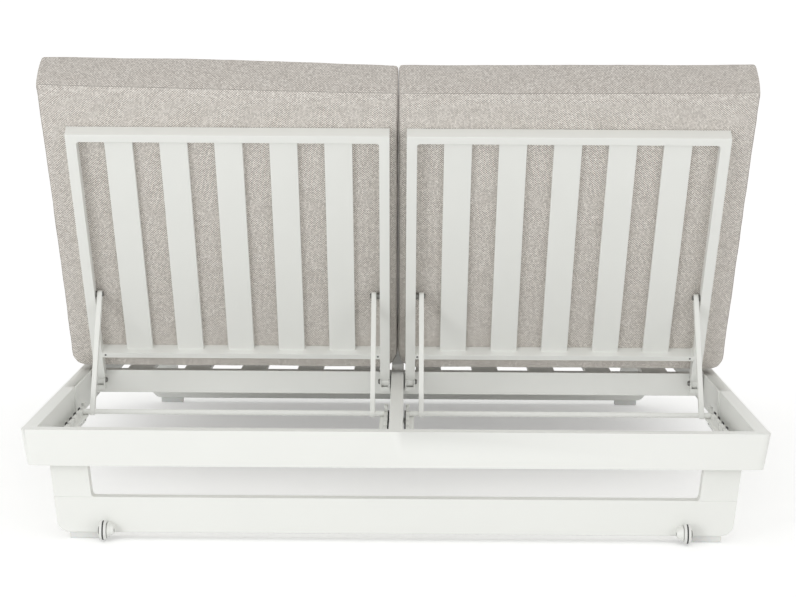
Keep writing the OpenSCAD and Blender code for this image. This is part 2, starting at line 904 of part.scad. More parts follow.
// Bolts with bushes that carry the stays on the inner faces of the posts
module pivot_bolts() {
    in_face = stay_inner_x - stay_w / 2 - face_gap;
    in_far = stay_inner_x + stay_w / 2 + face_gap;
    out_face = stay_outer_x + stay_w / 2 + face_gap;
    out_far = stay_outer_x - stay_w / 2 - face_gap;
    leaned()
        translate([0, -pivot_s, pivot_n]) {
            bar_x(post_in_a, in_face, pivot_head_r, small_fn);
            bar_x(post_in_a, in_far + pivot_head_t, pivot_r);
            bar_x(in_far, in_far + pivot_head_t, pivot_head_r, small_fn);
            bar_x(out_face, post_in_b, pivot_head_r, small_fn);
            bar_x(out_far - pivot_head_t, post_in_b, pivot_r);
            bar_x(out_far - pivot_head_t, out_far, pivot_head_r, small_fn);
        }
}

// Side outline of a stay, from its pivot at the origin toward the bar along X
module stay_outline() {
    difference() {
        union() {
            circle(r = stay_d / 2, $fn = round_fn);
            translate([0, -stay_d / 2])
                square([prop_len, stay_d]);
            translate([prop_len, 0])
                circle(r = stay_d / 2, $fn = round_fn);
        }
        circle(r = pivot_r + run_fit, $fn = round_fn);
        translate([prop_len, 0])
            circle(r = bar_r + weld_gap, $fn = round_fn);
    }
}

module stays() {
    for (x = [stay_inner_x, stay_outer_x])
        translate([x - stay_w / 2, pivot_y, pivot_z])
            rotate([prop_angle, 0, 0])
                rotate([90, 0, 90])
                    linear_extrude(stay_w)
                        stay_outline();
}

module prop_bar() {
    translate([0, bar_y, bar_z])
        bar_x(bar_in_x, bar_out_x, bar_r);
}

// Cushions

// Points of a cushion's outline, bulging between its corners, drawn in by an inset
function cushion_outline(hx, hy, inset) = let (r = cushion_corner_r, a = hx - inset, b = hy - inset)
    concat(
        cushion_side([a - side_bulge, r - b], [a - side_bulge, b - r], [side_bulge, 0]),
        cushion_corner(a - side_bulge - r, b - side_bulge - r, r, 0),
        cushion_side([a - r, b - side_bulge], [r - a, b - side_bulge], [0, side_bulge]),
        cushion_corner(side_bulge + r - a, b - side_bulge - r, r, 90),
        cushion_side([side_bulge - a, b - r], [side_bulge - a, r - b], [-side_bulge, 0]),
        cushion_corner(side_bulge + r - a, side_bulge + r - b, r, 180),
        cushion_side([r - a, side_bulge - b], [a - r, side_bulge - b], [0, -side_bulge]),
        cushion_corner(a - side_bulge - r, side_bulge + r - b, r, 270));
function cushion_side(p, q, out) = [for (k = [0 : side_steps])
    let (t = k / side_steps) p + (q - p) * t + out * (4 * t * (1 - t))];
function cushion_corner(cx, cy, r, a0) = [for (k = [1 : corner_steps - 1])
    let (a = a0 + 90 * k / corner_steps) [cx + r * cos(a), cy + r * sin(a)]];

// One cushion lying flat about the middle of its underside
module cushion(w, l, t) {
    wall = t - 2 * crown;
    hx = w / 2;
    hy = l / 2;
    low_face = cushion_outline(hx, hy, side_draw * ring_draw_shares[0]);
    n = len(low_face);
    rings = concat(
        [for (k = [len(face_ring_shares) - 1 : -1 : 0])
            [for (p = low_face) [p[0] * face_ring_shares[k][0], p[1] * face_ring_shares[k][0],
                crown * (1 - face_ring_shares[k][1])]]],
        [for (k = [0 : len(ring_height_shares) - 1])
            [for (p = cushion_outline(hx, hy, side_draw * ring_draw_shares[k]))
                [p[0], p[1], crown + wall * ring_height_shares[k]]]],
        [for (k = [0 : len(face_ring_shares) - 1])
            [for (p = low_face) [p[0] * face_ring_shares[k][0], p[1] * face_ring_shares[k][0],
                t - crown * (1 - face_ring_shares[k][1])]]]);
    m = len(rings);
    points = concat([for (ring = rings, p = ring) p], [[0, 0, 0], [0, 0, t]]);
    faces = concat(
        [for (j = [0 : m - 2], i = [0 : n - 1])
            [j * n + i, (j + 1) * n + i, (j + 1) * n + (i + 1) % n]],
        [for (j = [0 : m - 2], i = [0 : n - 1])
            [j * n + i, (j + 1) * n + (i + 1) % n, j * n + (i + 1) % n]],
        [for (i = [0 : n - 1]) [m * n, i, (i + 1) % n]],
        [for (i = [0 : n - 1]) [m * n + 1, (m - 1) * n + (i + 1) % n, (m - 1) * n + i]]);
    polyhedron(points = points, faces = faces);
}

module seat_cushion() {
    translate([cushion_mid_x, (seat_cushion_y0 + seat_cushion_y1) / 2, seat_slat_top + face_gap])
        cushion(cushion_w, seat_cushion_y1 - seat_cushion_y0, cushion_t);
}

module back_cushion() {
    leaned()
        translate([cushion_mid_x, -(back_cushion_start + back_cushion_l / 2), slat_front + face_gap])
            cushion(cushion_w, back_cushion_l, cushion_t);
}

module seat_cushion_right() {
    color("tan")
        seat_cushion();
}

module seat_cushion_left() {
    color("tan")
        mirror([1, 0, 0])
            seat_cushion();
}

module back_cushion_right() {
    color("tan")
        back_cushion();
}

module back_cushion_left() {
    color("tan")
        mirror([1, 0, 0])
            back_cushion();
}

// The left and right pieces of the backrests and props

module back_posts_right() {
    color("gainsboro")
        back_posts();
}

module back_posts_left() {
    color("gainsboro")
        mirror([1, 0, 0])
            back_posts();
}

module back_top_rail_right() {
    color("gainsboro")
        back_top_rail();
}

module back_top_rail_left() {
    color("gainsboro")
        mirror([1, 0, 0])
            back_top_rail();
}

module back_low_rail_right() {
    color("gainsboro")
        back_low_rail();
}

module back_low_rail_left() {
    color("gainsboro")
        mirror([1, 0, 0])
            back_low_rail();
}

module back_slats_right() {
    color("gainsboro")
        back_slats();
}

module back_slats_left() {
    color("gainsboro")
        mirror([1, 0, 0])
            back_slats();
}

module hinge_tongues_right() {
    color("gainsboro")
        hinge_tongues();
}

module hinge_tongues_left() {
    color("gainsboro")
        mirror([1, 0, 0])
            hinge_tongues();
}

module pivot_bolts_right() {
    color("silver")
        pivot_bolts();
}

module pivot_bolts_left() {
    color("silver")
        mirror([1, 0, 0])
            pivot_bolts();
}

module stays_right() {
    color("gainsboro")
        stays();
}

module stays_left() {
    color("gainsboro")
        mirror([1, 0, 0])
            stays();
}

module prop_bar_right() {
    color("gainsboro")
        prop_bar();
}

module prop_bar_left() {
    color("gainsboro")
        mirror([1, 0, 0])
            prop_bar();
}

back_rail();
front_rail();
side_rail_left();
side_rail_right();
centre_beam();
hinge_beams();
side_plates();
seat_slats_left();
seat_slats_right();
rear_leg_posts();
rear_leg_rail();
front_leg_posts();
front_leg_rail();
leg_brackets();
foot_pads();
wheel_brackets();
axle_bolts();
wheel_left();
wheel_right();
tread_left();
tread_right();
racks_inner();
racks_outer();
rack_bolts();
hinge_brackets();
hinge_bolts();
seat_cushion_left();
seat_cushion_right();
back_posts_left();
back_posts_right();
back_top_rail_left();
back_top_rail_right();
back_low_rail_left();
back_low_rail_right();
back_slats_left();
back_slats_right();
hinge_tongues_left();
hinge_tongues_right();
pivot_bolts_left();
pivot_bolts_right();
back_cushion_left();
back_cushion_right();
stays_left();
stays_right();
prop_bar_left();
prop_bar_right();
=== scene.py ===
# %% [markdown]
# # A double garden lounger, seen from behind its two raised backs
# The real object is a low welded platform of white powder-coated aluminium on two leg frames.
# Two slatted backs are hinged on it, each held up by a U-shaped prop in toothed racks, and
# four loose cushions in a heather cloth lie on the slats. The solids of the part come in as a
# fixed frame, so every piece made here is drawn in the same metres and in the same place.

# %% Load the frame
import json
import math

import bmesh
import bpy
import numpy as np
from mathutils import Matrix, Vector, noise
from mathutils.bvhtree import BVHTree


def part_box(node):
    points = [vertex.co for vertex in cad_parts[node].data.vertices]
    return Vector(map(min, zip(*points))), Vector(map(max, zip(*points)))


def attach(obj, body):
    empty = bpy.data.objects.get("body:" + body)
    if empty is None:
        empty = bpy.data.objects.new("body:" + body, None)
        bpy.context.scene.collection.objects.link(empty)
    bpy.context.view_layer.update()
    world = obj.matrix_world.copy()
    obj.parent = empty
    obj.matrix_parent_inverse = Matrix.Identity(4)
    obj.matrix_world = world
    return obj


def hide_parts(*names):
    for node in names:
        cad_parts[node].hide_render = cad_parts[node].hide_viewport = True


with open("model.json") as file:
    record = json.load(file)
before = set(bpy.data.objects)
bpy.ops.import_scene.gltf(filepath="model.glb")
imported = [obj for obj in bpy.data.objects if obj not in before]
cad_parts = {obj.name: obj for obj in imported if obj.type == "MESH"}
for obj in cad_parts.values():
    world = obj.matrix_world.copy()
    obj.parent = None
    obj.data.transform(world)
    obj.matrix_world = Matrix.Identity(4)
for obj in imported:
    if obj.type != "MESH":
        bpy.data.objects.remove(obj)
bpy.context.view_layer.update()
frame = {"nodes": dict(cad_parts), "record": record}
nodes = frame["nodes"]
body_of = {n: b for b, names in frame["record"]["behaviour"]["bodies"].items() for n in names}

# %% [markdown]
# ## Sizes of the lounger
# A maker keeps one list of sizes and measures every piece from it. These are the part's own
# sizes in metres. A back is drawn lying flat about its hinge: x across, s up along the back,
# n out of its front. Posts, slats and stays are given by x, their ends by s. One function leans
# such a point up to its place, and another gives the matrix that does the same to a whole mesh.

# %% Sizes and the lean of the backs
LEAN = math.radians(53.7)
HINGE = Vector((0.0, -0.1552, 0.213))
UP_BACK = Vector((0.0, -math.cos(LEAN), math.sin(LEAN)))
OUT_FRONT = Vector((0.0, math.sin(LEAN), math.cos(LEAN)))
POSTS = ((0.0182, 0.0406), (0.6853, 0.7077))
POST_FACES = (POSTS[0][1], POSTS[1][0])
POST_W = 0.0224
POST_REAR, POST_FRONT = -0.0079, 0.0223
SLAT_X = (0.12805, 0.2455, 0.36295, 0.4804, 0.59785)
SLAT_W, SLAT_FRONT = 0.060, 0.0203
SLAT_ENDS = (0.095, 0.722)
TOP_RAIL_END = 0.742
PIVOT = (0.268, 0.007)
CUSHION_X = 0.3812
STAY_FACES = ((0.0485, 0.0595), (0.681, 0.670))
RACK_FACES = (0.028, 0.696)
LOW_RAIL_REAR = -0.0080
SIDES = (("left", -1), ("right", 1))


def on_back(x, s, n):
    return Vector((x, 0, 0)) + HINGE + UP_BACK * s + OUT_FRONT * n


def back_matrix():
    turn = Matrix((Vector((1, 0, 0)), -UP_BACK, OUT_FRONT)).transposed()
    return Matrix.Translation(HINGE) @ turn.to_4x4()


print("top of the back rails:", on_back(0, TOP_RAIL_END, POST_REAR))

# %% [markdown]
# ## The camera
# The picture was taken from behind the head end, low and far away, so the long lens keeps the
# upright lines nearly parallel. The place, tilt and lens come from fitting the rails, backs
# and feet to their places in the picture, and the last small roll levels the back rail.

# %% Camera
EYE = Vector((0.02066, -5.32845, 1.01845))
FOCAL_PIXELS, PICTURE_WIDTH = 2228.8, 796
pitch, turn, roll = math.radians(6.715), math.radians(-0.229), math.radians(0.343)
ahead = Vector((math.sin(turn) * math.cos(pitch), math.cos(turn) * math.cos(pitch),
                -math.sin(pitch)))
level = Vector((math.cos(turn), -math.sin(turn), 0))
down = ahead.cross(level)
across = level * math.cos(roll) - down * math.sin(roll)
down = down * math.cos(roll) + level * math.sin(roll)
camera_data = bpy.data.cameras.new("view_from_behind")
camera_data.sensor_width = 36
camera_data.lens = FOCAL_PIXELS / PICTURE_WIDTH * camera_data.sensor_width
camera = bpy.data.objects.new("view_from_behind", camera_data)
camera.matrix_world = Matrix((across, -down, -ahead)).transposed().to_4x4()
camera.matrix_world.translation = EYE
bpy.context.scene.collection.objects.link(camera)
bpy.context.scene.camera = camera
print("lens:", round(camera_data.lens, 2), "mm")

# %% [markdown]
# ## Helpers for node trees
# A material is a small graph. These helpers add a node with its settings and join sockets in
# one line each, which keeps the graphs below short enough to read. A shader node group is made
# once with named inputs and outputs and is then placed in every material that needs it.


# %% Node helpers
def add(tree, kind, inputs=None, **settings):
    node = tree.nodes.new(kind)
    for key, value in settings.items():
        setattr(node, key, value)
    for key, value in (inputs or {}).items():
        if isinstance(value, bpy.types.NodeSocket):
            tree.links.new(value, node.inputs[key])
        else:
            node.inputs[key].default_value = value
    return node


def maths(tree, what, a, b=None, c=None, clamp=False):
    given = {i: v for i, v in enumerate((a, b, c)) if v is not None}
    return add(tree, "ShaderNodeMath", given, operation=what, use_clamp=clamp).outputs[0]


def blend_colours(tree, share, a, b, how="MIX"):
    node = add(tree, "ShaderNodeMix", data_type="RGBA", blend_type=how)
    for socket, value in ((node.inputs[0], share), (node.inputs[6], a), (node.inputs[7], b)):
        if isinstance(value, bpy.types.NodeSocket):
            tree.links.new(value, socket)
        else:
            socket.default_value = value
    return node.outputs[2]


def new_group(name, inputs, outputs):
    tree = bpy.data.node_groups.new(name, "ShaderNodeTree")
    for label, kind, value in inputs:
        socket = tree.interface.new_socket(name=label, in_out="INPUT", socket_type=kind)
        if value is not None:
            socket.default_value = value
    for label, kind in outputs:
        tree.interface.new_socket(name=label, in_out="OUTPUT", socket_type=kind)
    source = tree.nodes.new("NodeGroupInput")
    target = tree.nodes.new("NodeGroupOutput")
    return tree, source.outputs, target.inputs


def new_material(name, colour):
    material = bpy.data.materials.new(name)
    material.use_nodes = True
    material.diffuse_color = (*colour, 1)
    tree = material.node_tree
    return material, tree, tree.nodes["Principled BSDF"]


def place_group(tree, group, inputs):
    node = add(tree, "ShaderNodeGroup")
    node.node_tree = group
    for key, value in inputs.items():
        if isinstance(value, bpy.types.NodeSocket):
            tree.links.new(value, node.inputs[key])
        else:
            node.inputs[key].default_value = value
    return node.outputs


print("helpers ready")

# %% [markdown]
# ## The skin of cast, moulded and coated surfaces
# Powder coat dries with a fine orange-peel ripple and slightly uneven gloss. Moulded plastic
# has the same two effects at a finer scale. Both come from one group: a fine noise gives the
# ripple's height, a broad one gives patches that are a little duller or a little darker.

# %% Group: surface skin
skin, got, put = new_group(
    "surface_skin",
    [("Place", "NodeSocketVector", None), ("Ripples per metre", "NodeSocketFloat", 500.0),
     ("Patches per metre", "NodeSocketFloat", 6.0)],
    [("Ripple", "NodeSocketFloat"), ("Patch", "NodeSocketFloat"), ("Rub", "NodeSocketFloat")])
ripple = add(skin, "ShaderNodeTexNoise", {
    "Vector": got["Place"], "Scale": got["Ripples per metre"], "Detail": 2.0, "Roughness": 0.4})
patch = add(skin, "ShaderNodeTexNoise", {
    "Vector": got["Place"], "Scale": got["Patches per metre"], "Detail": 3.0, "Roughness": 0.55})
fine = add(skin, "ShaderNodeTexNoise", {"Vector": got["Place"], "Scale": 90.0, "Detail": 4.0})
rub = add(skin, "ShaderNodeMapRange", {
    "Value": fine.outputs["Fac"], "From Min": 0.52, "From Max": 0.7})
skin.links.new(ripple.outputs["Fac"], put["Ripple"])
skin.links.new(patch.outputs["Fac"], put["Patch"])
skin.links.new(rub.outputs["Result"], put["Rub"])
print("group:", skin.name, [s.name for s in skin.interface.items_tree])


# %% [markdown]
# ## Coated metal, dark steel, plastics and rubber
# The frame is off-white and a little cool, satin rather than glossy. The bolts are darkened
# steel. The wheels are a hard white plastic, the foot pads a softer milky one, and the thin
# tread ring is dark rubber. Each has its own scale of skin and its own roughness.


# %% Materials for the hard pieces
def coated(name, colour, rough, ripples, depth, dull=0.05, metal=0.0, darker=0.96):
    material, tree, shader = new_material(name, colour)
    place = add(tree, "ShaderNodeTexCoord").outputs["Object"]
    out = place_group(tree, skin, {"Place": place, "Ripples per metre": ripples})
    tone = blend_colours(tree, out["Patch"], (*[c * darker for c in colour], 1),
                         (*[min(1, c * (2 - darker)) for c in colour], 1))
    tree.links.new(tone, shader.inputs["Base Color"])
    gloss = maths(tree, "MULTIPLY_ADD", out["Patch"], dull, rough - dull / 2)
    gloss = maths(tree, "MULTIPLY_ADD", out["Rub"], dull * 0.6, gloss)
    tree.links.new(gloss, shader.inputs["Roughness"])
    bump = add(tree, "ShaderNodeBump", {"Height": out["Ripple"], "Strength": 0.5, "Distance": depth})
    tree.links.new(bump.outputs["Normal"], shader.inputs["Normal"])
    shader.inputs["Metallic"].default_value = metal
    return material


powder_coat = coated("powder_coat", (0.842, 0.847, 0.818), 0.46, 620.0, 0.00006, 0.08,
                     darker=0.985)
dark_steel = coated("dark_steel", (0.21, 0.21, 0.20), 0.36, 1500.0, 0.00004, 0.16, metal=1.0)
wheel_white = coated("wheel_plastic", (0.80, 0.80, 0.78), 0.34, 1100.0, 0.00003)
pad_white = coated("foot_plastic", (0.78, 0.79, 0.77), 0.42, 900.0, 0.00004)
pad_shader = pad_white.node_tree.nodes["Principled BSDF"]
pad_shader.inputs["Subsurface Weight"].default_value = 0.15
pad_shader.inputs["Subsurface Scale"].default_value = 0.004
# The same dark rubber is also used as painted shade, behind the rack notches and in the low rails' drain
# holes.
tread_rubber_and_shade = coated("tread_rubber", (0.055, 0.055, 0.055), 0.72, 1400.0, 0.00008)
for finish in (powder_coat, dark_steel, wheel_white, pad_white, tread_rubber_and_shade):
    print("material:", finish.name)

# %% [markdown]
# ## The heather cloth
# The covers are a coarse plain weave: warp and weft threads of about 2.8 mm pass over and
# under each other like a chequerboard. Each thread is a mix of light and dark fibres with
# thicker slubs here and there, which the eye sees as short dashes both ways and as a soft
# mottling over a hand's width. The group works in metres on the flat pattern of each panel,
# so the threads run straight along the seams as on a cut and sewn cover.

# %% Group: slub weave
weave, got, put = new_group(
    "slub_weave",
    [("Pattern", "NodeSocketVector", None), ("Threads per metre", "NodeSocketFloat", 360.0)],
    [("Height", "NodeSocketFloat"), ("Yarn", "NodeSocketFloat"), ("Mottle", "NodeSocketFloat"),
     ("Fleck", "NodeSocketFloat")])
scaled = add(weave, "ShaderNodeVectorMath", {0: got["Pattern"]}, operation="SCALE")
weave.links.new(got["Threads per metre"], scaled.inputs["Scale"])
split = add(weave, "ShaderNodeSeparateXYZ", {0: scaled.outputs[0]}).outputs
u, v = split["X"], split["Y"]
column = maths(weave, "FLOOR", u)
row = maths(weave, "FLOOR", v)


def thread_profile(tree, along_cross, along_run, index_cross, index_run, shift):
    """Height of one set of threads: round across, rising where the thread lies on top."""
    inside = maths(tree, "SUBTRACT", along_cross, index_cross)
    across_thread = maths(tree, "SINE", maths(tree, "MULTIPLY", inside, math.pi))
    phase = maths(tree, "ADD", along_run, maths(tree, "ADD", index_cross, shift))
    lift = maths(tree, "SINE", maths(tree, "MULTIPLY", phase, math.pi))
    return maths(tree, "MULTIPLY", across_thread, maths(tree, "MULTIPLY_ADD", lift, 0.5, 0.5))


def thread_tone(tree, index, run, seed, stretch):
    """Light and dark fibres along one thread: noise that is long along it and cut at its sides."""
    where = add(tree, "ShaderNodeCombineXYZ", {0: maths(tree, "MULTIPLY", index, 3.7),
                                               1: maths(tree, "MULTIPLY", run, stretch), 2: seed})
    fibres = add(tree, "ShaderNodeTexNoise", {
        "Vector": where.outputs[0], "Scale": 1.0, "Detail": 2.0, "Roughness": 0.7})
    return fibres.outputs["Fac"]


FIBRE_STRETCH, SLUB_STRETCH = 0.35, 0.07
warp_height = thread_profile(weave, u, v, column, row, 0.0)
weft_height = thread_profile(weave, v, u, row, column, 1.0)
warp_tone = thread_tone(weave, column, v, 2.0, FIBRE_STRETCH)
weft_tone = thread_tone(weave, row, u, 9.0, FIBRE_STRETCH)
warp_slub = thread_tone(weave, column, v, 21.0, SLUB_STRETCH)
weft_slub = thread_tone(weave, row, u, 33.0, SLUB_STRETCH)
on_top = maths(weave, "GREATER_THAN", warp_height, weft_height)
tone = add(weave, "ShaderNodeMix", {0: on_top, 2: weft_tone, 3: warp_tone}).outputs[0]
slub = add(weave, "ShaderNodeMix", {0: on_top, 2: weft_slub, 3: warp_slub}).outputs[0]
cells = add(weave, "ShaderNodeCombineXYZ", {0: column, 1: row, 2: 5.0})
speck = add(weave, "ShaderNodeTexWhiteNoise", {"Vector": cells.outputs[0]},
            noise_dimensions="3D").outputs[0]
BASE_TONE, FIBRES, WARP_LIGHTER, SLUBS, SPECKS = 0.15, 0.4, 0.76, 0.3, 0.48
yarn = maths(weave, "MULTIPLY_ADD", maths(weave, "SUBTRACT", tone, 0.5), FIBRES, BASE_TONE)
yarn = maths(weave, "MULTIPLY_ADD", on_top, WARP_LIGHTER, yarn)
yarn = maths(weave, "MULTIPLY_ADD", maths(weave, "SUBTRACT", slub, 0.5), SLUBS, yarn)
yarn = maths(weave, "MULTIPLY_ADD", maths(weave, "SUBTRACT", speck, 0.5), SPECKS, yarn, clamp=True)
height = maths(weave, "MAXIMUM", warp_height, weft_height)
height = maths(weave, "MULTIPLY_ADD", slub, 0.5, height)
mottle = add(weave, "ShaderNodeTexNoise", {"Vector": got["Pattern"], "Scale": 22.0, "Detail": 3.0})
fleck = add(weave, "ShaderNodeMapRange", {"Value": speck, "From Min": 0.93, "From Max": 1.0})
weave.links.new(height, put["Height"])
weave.links.new(yarn, put["Yarn"])
weave.links.new(mottle.outputs["Fac"], put["Mottle"])
weave.links.new(fleck.outputs["Result"], put["Fleck"])
print("group:", weave.name)

# %% [markdown]
# ## The cloth material and its seam
# The pattern comes from a map of the flat panels, made in code with the cushions. The seam is
# sewn along the edge of each face, so the distance from it is kept on the mesh as a value, and
# the material sinks a thread's width along it and darkens there as painted shade in the groove.
# The hollows between the threads are darkened as painted shade too. The boxing is darkened a
# little as painted shade, which a second value marks. A little sheen stands for the fuzz.

# %% Material: heather cloth
DARK_YARN, LIGHT_YARN = (0.31, 0.28, 0.255, 1), (0.95, 0.905, 0.855, 1)
FLECK_COLOUR, VALLEY_SHADE_COLOUR = (0.88, 0.86, 0.82, 1), (0.20, 0.18, 0.155, 1)
SEAM_SHADE_COLOUR = (0.13, 0.12, 0.105, 1)
MOTTLED, BOXING_SHADE = (0.98, 0.975, 0.97, 1), (0.88, 0.875, 0.87, 1)
heather, tree, shader = new_material("heather_cloth", (0.60, 0.56, 0.51))
pattern = add(tree, "ShaderNodeUVMap", uv_map="panel_metres").outputs["UV"]
cloth = place_group(tree, weave, {"Pattern": pattern, "Threads per metre": 360.0})
light_dark = blend_colours(tree, cloth["Yarn"], DARK_YARN, LIGHT_YARN)
warm = add(tree, "ShaderNodeMapRange", {"Value": cloth["Mottle"], "From Min": 0.35, "From Max": 0.65})
light_dark = blend_colours(tree, warm.outputs["Result"], light_dark,
                           blend_colours(tree, 1.0, light_dark, MOTTLED, "MULTIPLY"))
light_dark = blend_colours(tree, maths(tree, "MULTIPLY", cloth["Fleck"], 0.5), light_dark, FLECK_COLOUR)
# The hollows between the threads are darkened: painted shade in the weave.
depth = maths(tree, "SUBTRACT", 1.0, maths(tree, "MINIMUM", cloth["Height"], 1.0))
light_dark = blend_colours(tree, maths(tree, "MULTIPLY", depth, 0.32), light_dark, VALLEY_SHADE_COLOUR)
gap = add(tree, "ShaderNodeAttribute", attribute_name="seam_gap").outputs["Fac"]
seam = add(tree, "ShaderNodeMapRange", {"Value": gap, "From Min": 0.0003, "From Max": 0.0016,
                                        "To Min": 1.0, "To Max": 0.0}).outputs["Result"]
# The boxing strip is darkened a little: painted shade on those faces.
boxing_shade_mask = add(tree, "ShaderNodeAttribute", attribute_name="boxing").outputs["Fac"]
light_dark = blend_colours(tree, boxing_shade_mask, light_dark,
                           blend_colours(tree, 1.0, light_dark, BOXING_SHADE, "MULTIPLY"))
# Along the seam the colour is darkened: painted shade in the seam's groove.
light_dark = blend_colours(tree, maths(tree, "MULTIPLY", seam, 0.6), light_dark, SEAM_SHADE_COLOUR)
tree.links.new(light_dark, shader.inputs["Base Color"])
tree.links.new(maths(tree, "MULTIPLY_ADD", cloth["Yarn"], -0.1, 0.94), shader.inputs["Roughness"])
relief = maths(tree, "SUBTRACT", cloth["Height"], maths(tree, "MULTIPLY", seam, 1.2))
bump = add(tree, "ShaderNodeBump", {"Height": relief, "Strength": 0.7, "Distance": 0.0005})
tree.links.new(bump.outputs["Normal"], shader.inputs["Normal"])
shader.inputs["Sheen Weight"].default_value = 0.12
shader.inputs["Sheen Roughness"].default_value = 0.5
shader.inputs["Specular IOR Level"].default_value = 0.25
print("material:", heather.name)

# %% [markdown]
# ## Easing the edges of the metal
# Extruded tube has small round edges, and the coat rounds them further, so no edge of the real
# frame is sharp: each one catches a thin line of light. The solids have sharp edges. Each one
# is copied, its flat triangles are joined, and its free outer edges are rounded. Edges that
# touch a neighbour stay sharp, so that welded joints stay closed, and so do edges that nothing
# outside can see. A search tree of all the hard solids answers both questions.


# %% Which edges are free
hard_names = sorted(n for n in nodes if "cushion" not in n)
tree_points, tree_faces, face_owner = [], [], []
for name in hard_names:
    start = len(tree_points)
    mesh = nodes[name].data
    tree_points += [p.co.copy() for p in mesh.vertices]
    tree_faces += [[start + i for i in face.vertices] for face in mesh.polygons]
    face_owner += [name] * len(mesh.polygons)
solids = BVHTree.FromPolygons(tree_points, tree_faces)
FAR = 3.0
LOOKS = [Vector(d).normalized() for d in (
    (1, 0, 0), (-1, 0, 0), (0, 1, 0), (0, -1, 0), (0, 0, 1), (0, 0, -1), (1, 1, 1), (-1, 1, 1),
    (1, -1, 1), (-1, -1, 1), (1, 1, -1), (-1, 1, -1), (1, -1, -1), (-1, -1, -1))]


def is_free(edge, owner, touch=0.0004):
    a, b = edge.verts[0].co, edge.verts[1].co
    out = sum((f.normal for f in edge.link_faces), Vector()).normalized()
    touching = seen = 0
    for t in (0.25, 0.5, 0.75):
        point = a.lerp(b, t)
        near = solids.find_nearest_range(point, touch)
        touching += any(face_owner[hit[2]] != owner for hit in near)
        eye = point + out * 0.002
        seen += sum(solids.ray_cast(eye, d, FAR)[0] is None for d in LOOKS) >= 2
    return touching < 2 and seen >= 2


print("hard solids:", len(hard_names), "triangles:", len(tree_faces))


# %% The easing itself
def link_mesh(mesh, name, material, body):
    obj = bpy.data.objects.new(name, mesh)
    bpy.context.scene.collection.objects.link(obj)
    mesh.materials.clear()
    mesh.materials.append(material)
    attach(obj, body)
    return obj


def settle(obj):
    """Applies the modifiers of an object and keeps the result as its mesh."""
    graph = bpy.context.evaluated_depsgraph_get()
    mesh = bpy.data.meshes.new_from_object(obj.evaluated_get(graph), preserve_all_data_layers=True,
                                           depsgraph=graph)
    obj.modifiers.clear()
    old, obj.data = obj.data, mesh
    bpy.data.meshes.remove(old)


def eased(name, radius, cuts=(), segments=2, material=powder_coat,
          sharp_x=()):
    """cuts: (axis, place) planes that cut the edges; sharp_x: planes across x whose edges stay."""
    bm = bmesh.new()
    bm.from_mesh(nodes[name].data)
    bmesh.ops.remove_doubles(bm, verts=bm.verts, dist=0.000005)
    bmesh.ops.dissolve_limit(bm, angle_limit=math.radians(0.5), verts=bm.verts, edges=bm.edges)
    for axis, place in cuts:
        normal = Vector((axis == "x", axis == "y", 0))
        whole = bm.verts[:] + bm.edges[:] + bm.faces[:]
        bmesh.ops.bisect_plane(bm, geom=whole, plane_co=normal * place, plane_no=normal, dist=1e-6)
    bm.normal_update()
    weight = bm.edges.layers.float.new("bevel_weight_edge")
    rounded = 0
    for edge in bm.edges:
        edge.smooth = True
        if len(edge.link_faces) != 2:
            continue
        kept = any(all(abs(abs(v.co.x) - x) < 0.0003 for v in edge.verts) for x in sharp_x)
        if edge.calc_face_angle(0) > math.radians(28):
            if edge.is_convex and not kept and is_free(edge, name):
                edge[weight] = 1.0
                rounded += 1
            else:
                edge.smooth = False
    for face in bm.faces:
        face.smooth = True
    mesh = bpy.data.meshes.new(name + "_eased")
    bm.to_mesh(mesh)
    bm.free()
    obj = bpy.data.objects.new(name + "_eased", mesh)
    bpy.context.scene.collection.objects.link(obj)
    bevel = obj.modifiers.new("round", "BEVEL")
    bevel.width, bevel.segments, bevel.limit_method = radius, segments, "WEIGHT"
    bevel.use_clamp_overlap = True
    obj.modifiers.new("flats", "WEIGHTED_NORMAL").keep_sharp = True
    settle(obj)
    obj.data.materials.clear()
    obj.data.materials.append(material)
    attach(obj, body_of[name])
    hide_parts(name)
    print("eased", name, "edges", rounded, "faces", len(obj.data.polygons))


# %% [markdown]
# ## The platform, leg frames and backs
# Large tubes have larger round edges than thin plate. The long rails are first cut across
# where another rail meets them, so that the same edge can be round where it is free and sharp
# where it is welded.

# %% Eased frame pieces
RAIL_IN_X, BEAM = 0.7208, 0.014
HINGE_BEAM_CUTS = [("y", -0.1432), ("y", -0.1132)]
end_cuts = [("x", RAIL_IN_X), ("x", -RAIL_IN_X), ("x", BEAM), ("x", -BEAM)]
for name in ("back_rail", "front_rail"):
    eased(name, 0.0016, end_cuts, 3)
side_cuts = [("y", -0.405), ("y", -0.860), ("y", -0.890), ("y", 0.806), ("y", 0.836)]
for name in ("side_rail_left", "side_rail_right"):
    eased(name, 0.0016, side_cuts, 3)
eased("centre_beam", 0.0014, HINGE_BEAM_CUTS)
eased("hinge_beams", 0.0014)
eased("side_plates", 0.0008, HINGE_BEAM_CUTS)
for side, _ in SIDES:
    eased("seat_slats_" + side, 0.0012)
    eased("back_posts_" + side, 0.0014, sharp_x=POST_FACES)
    eased("back_top_rail_" + side, 0.0014)
    eased("back_low_rail_" + side, 0.0010)
    eased("back_slats_" + side, 0.0012)
    eased("hinge_tongues_" + side, 0.0005, segments=1)
    eased("stays_" + side, 0.0012)
    eased("prop_bar_" + side, 0.0012)
for name in ("rear_leg_posts", "rear_leg_rail", "front_leg_posts", "front_leg_rail"):
    eased(name, 0.0016, segments=3)
for name in ("leg_brackets", "racks_inner", "racks_outer", "hinge_brackets"):
    eased(name, 0.0006, segments=1)
eased("foot_pads", 0.0022, segments=3, material=pad_white)

# %% [markdown]
# ## Turned pieces: wheels, tread rings and bolts
# Everything round is made as on a lathe: a profile of distance along the axis and radius is
# turned about the axis in many steps. A ring of the profile that has a third word in it is
# six-sided, which gives the key socket in a bolt's head.


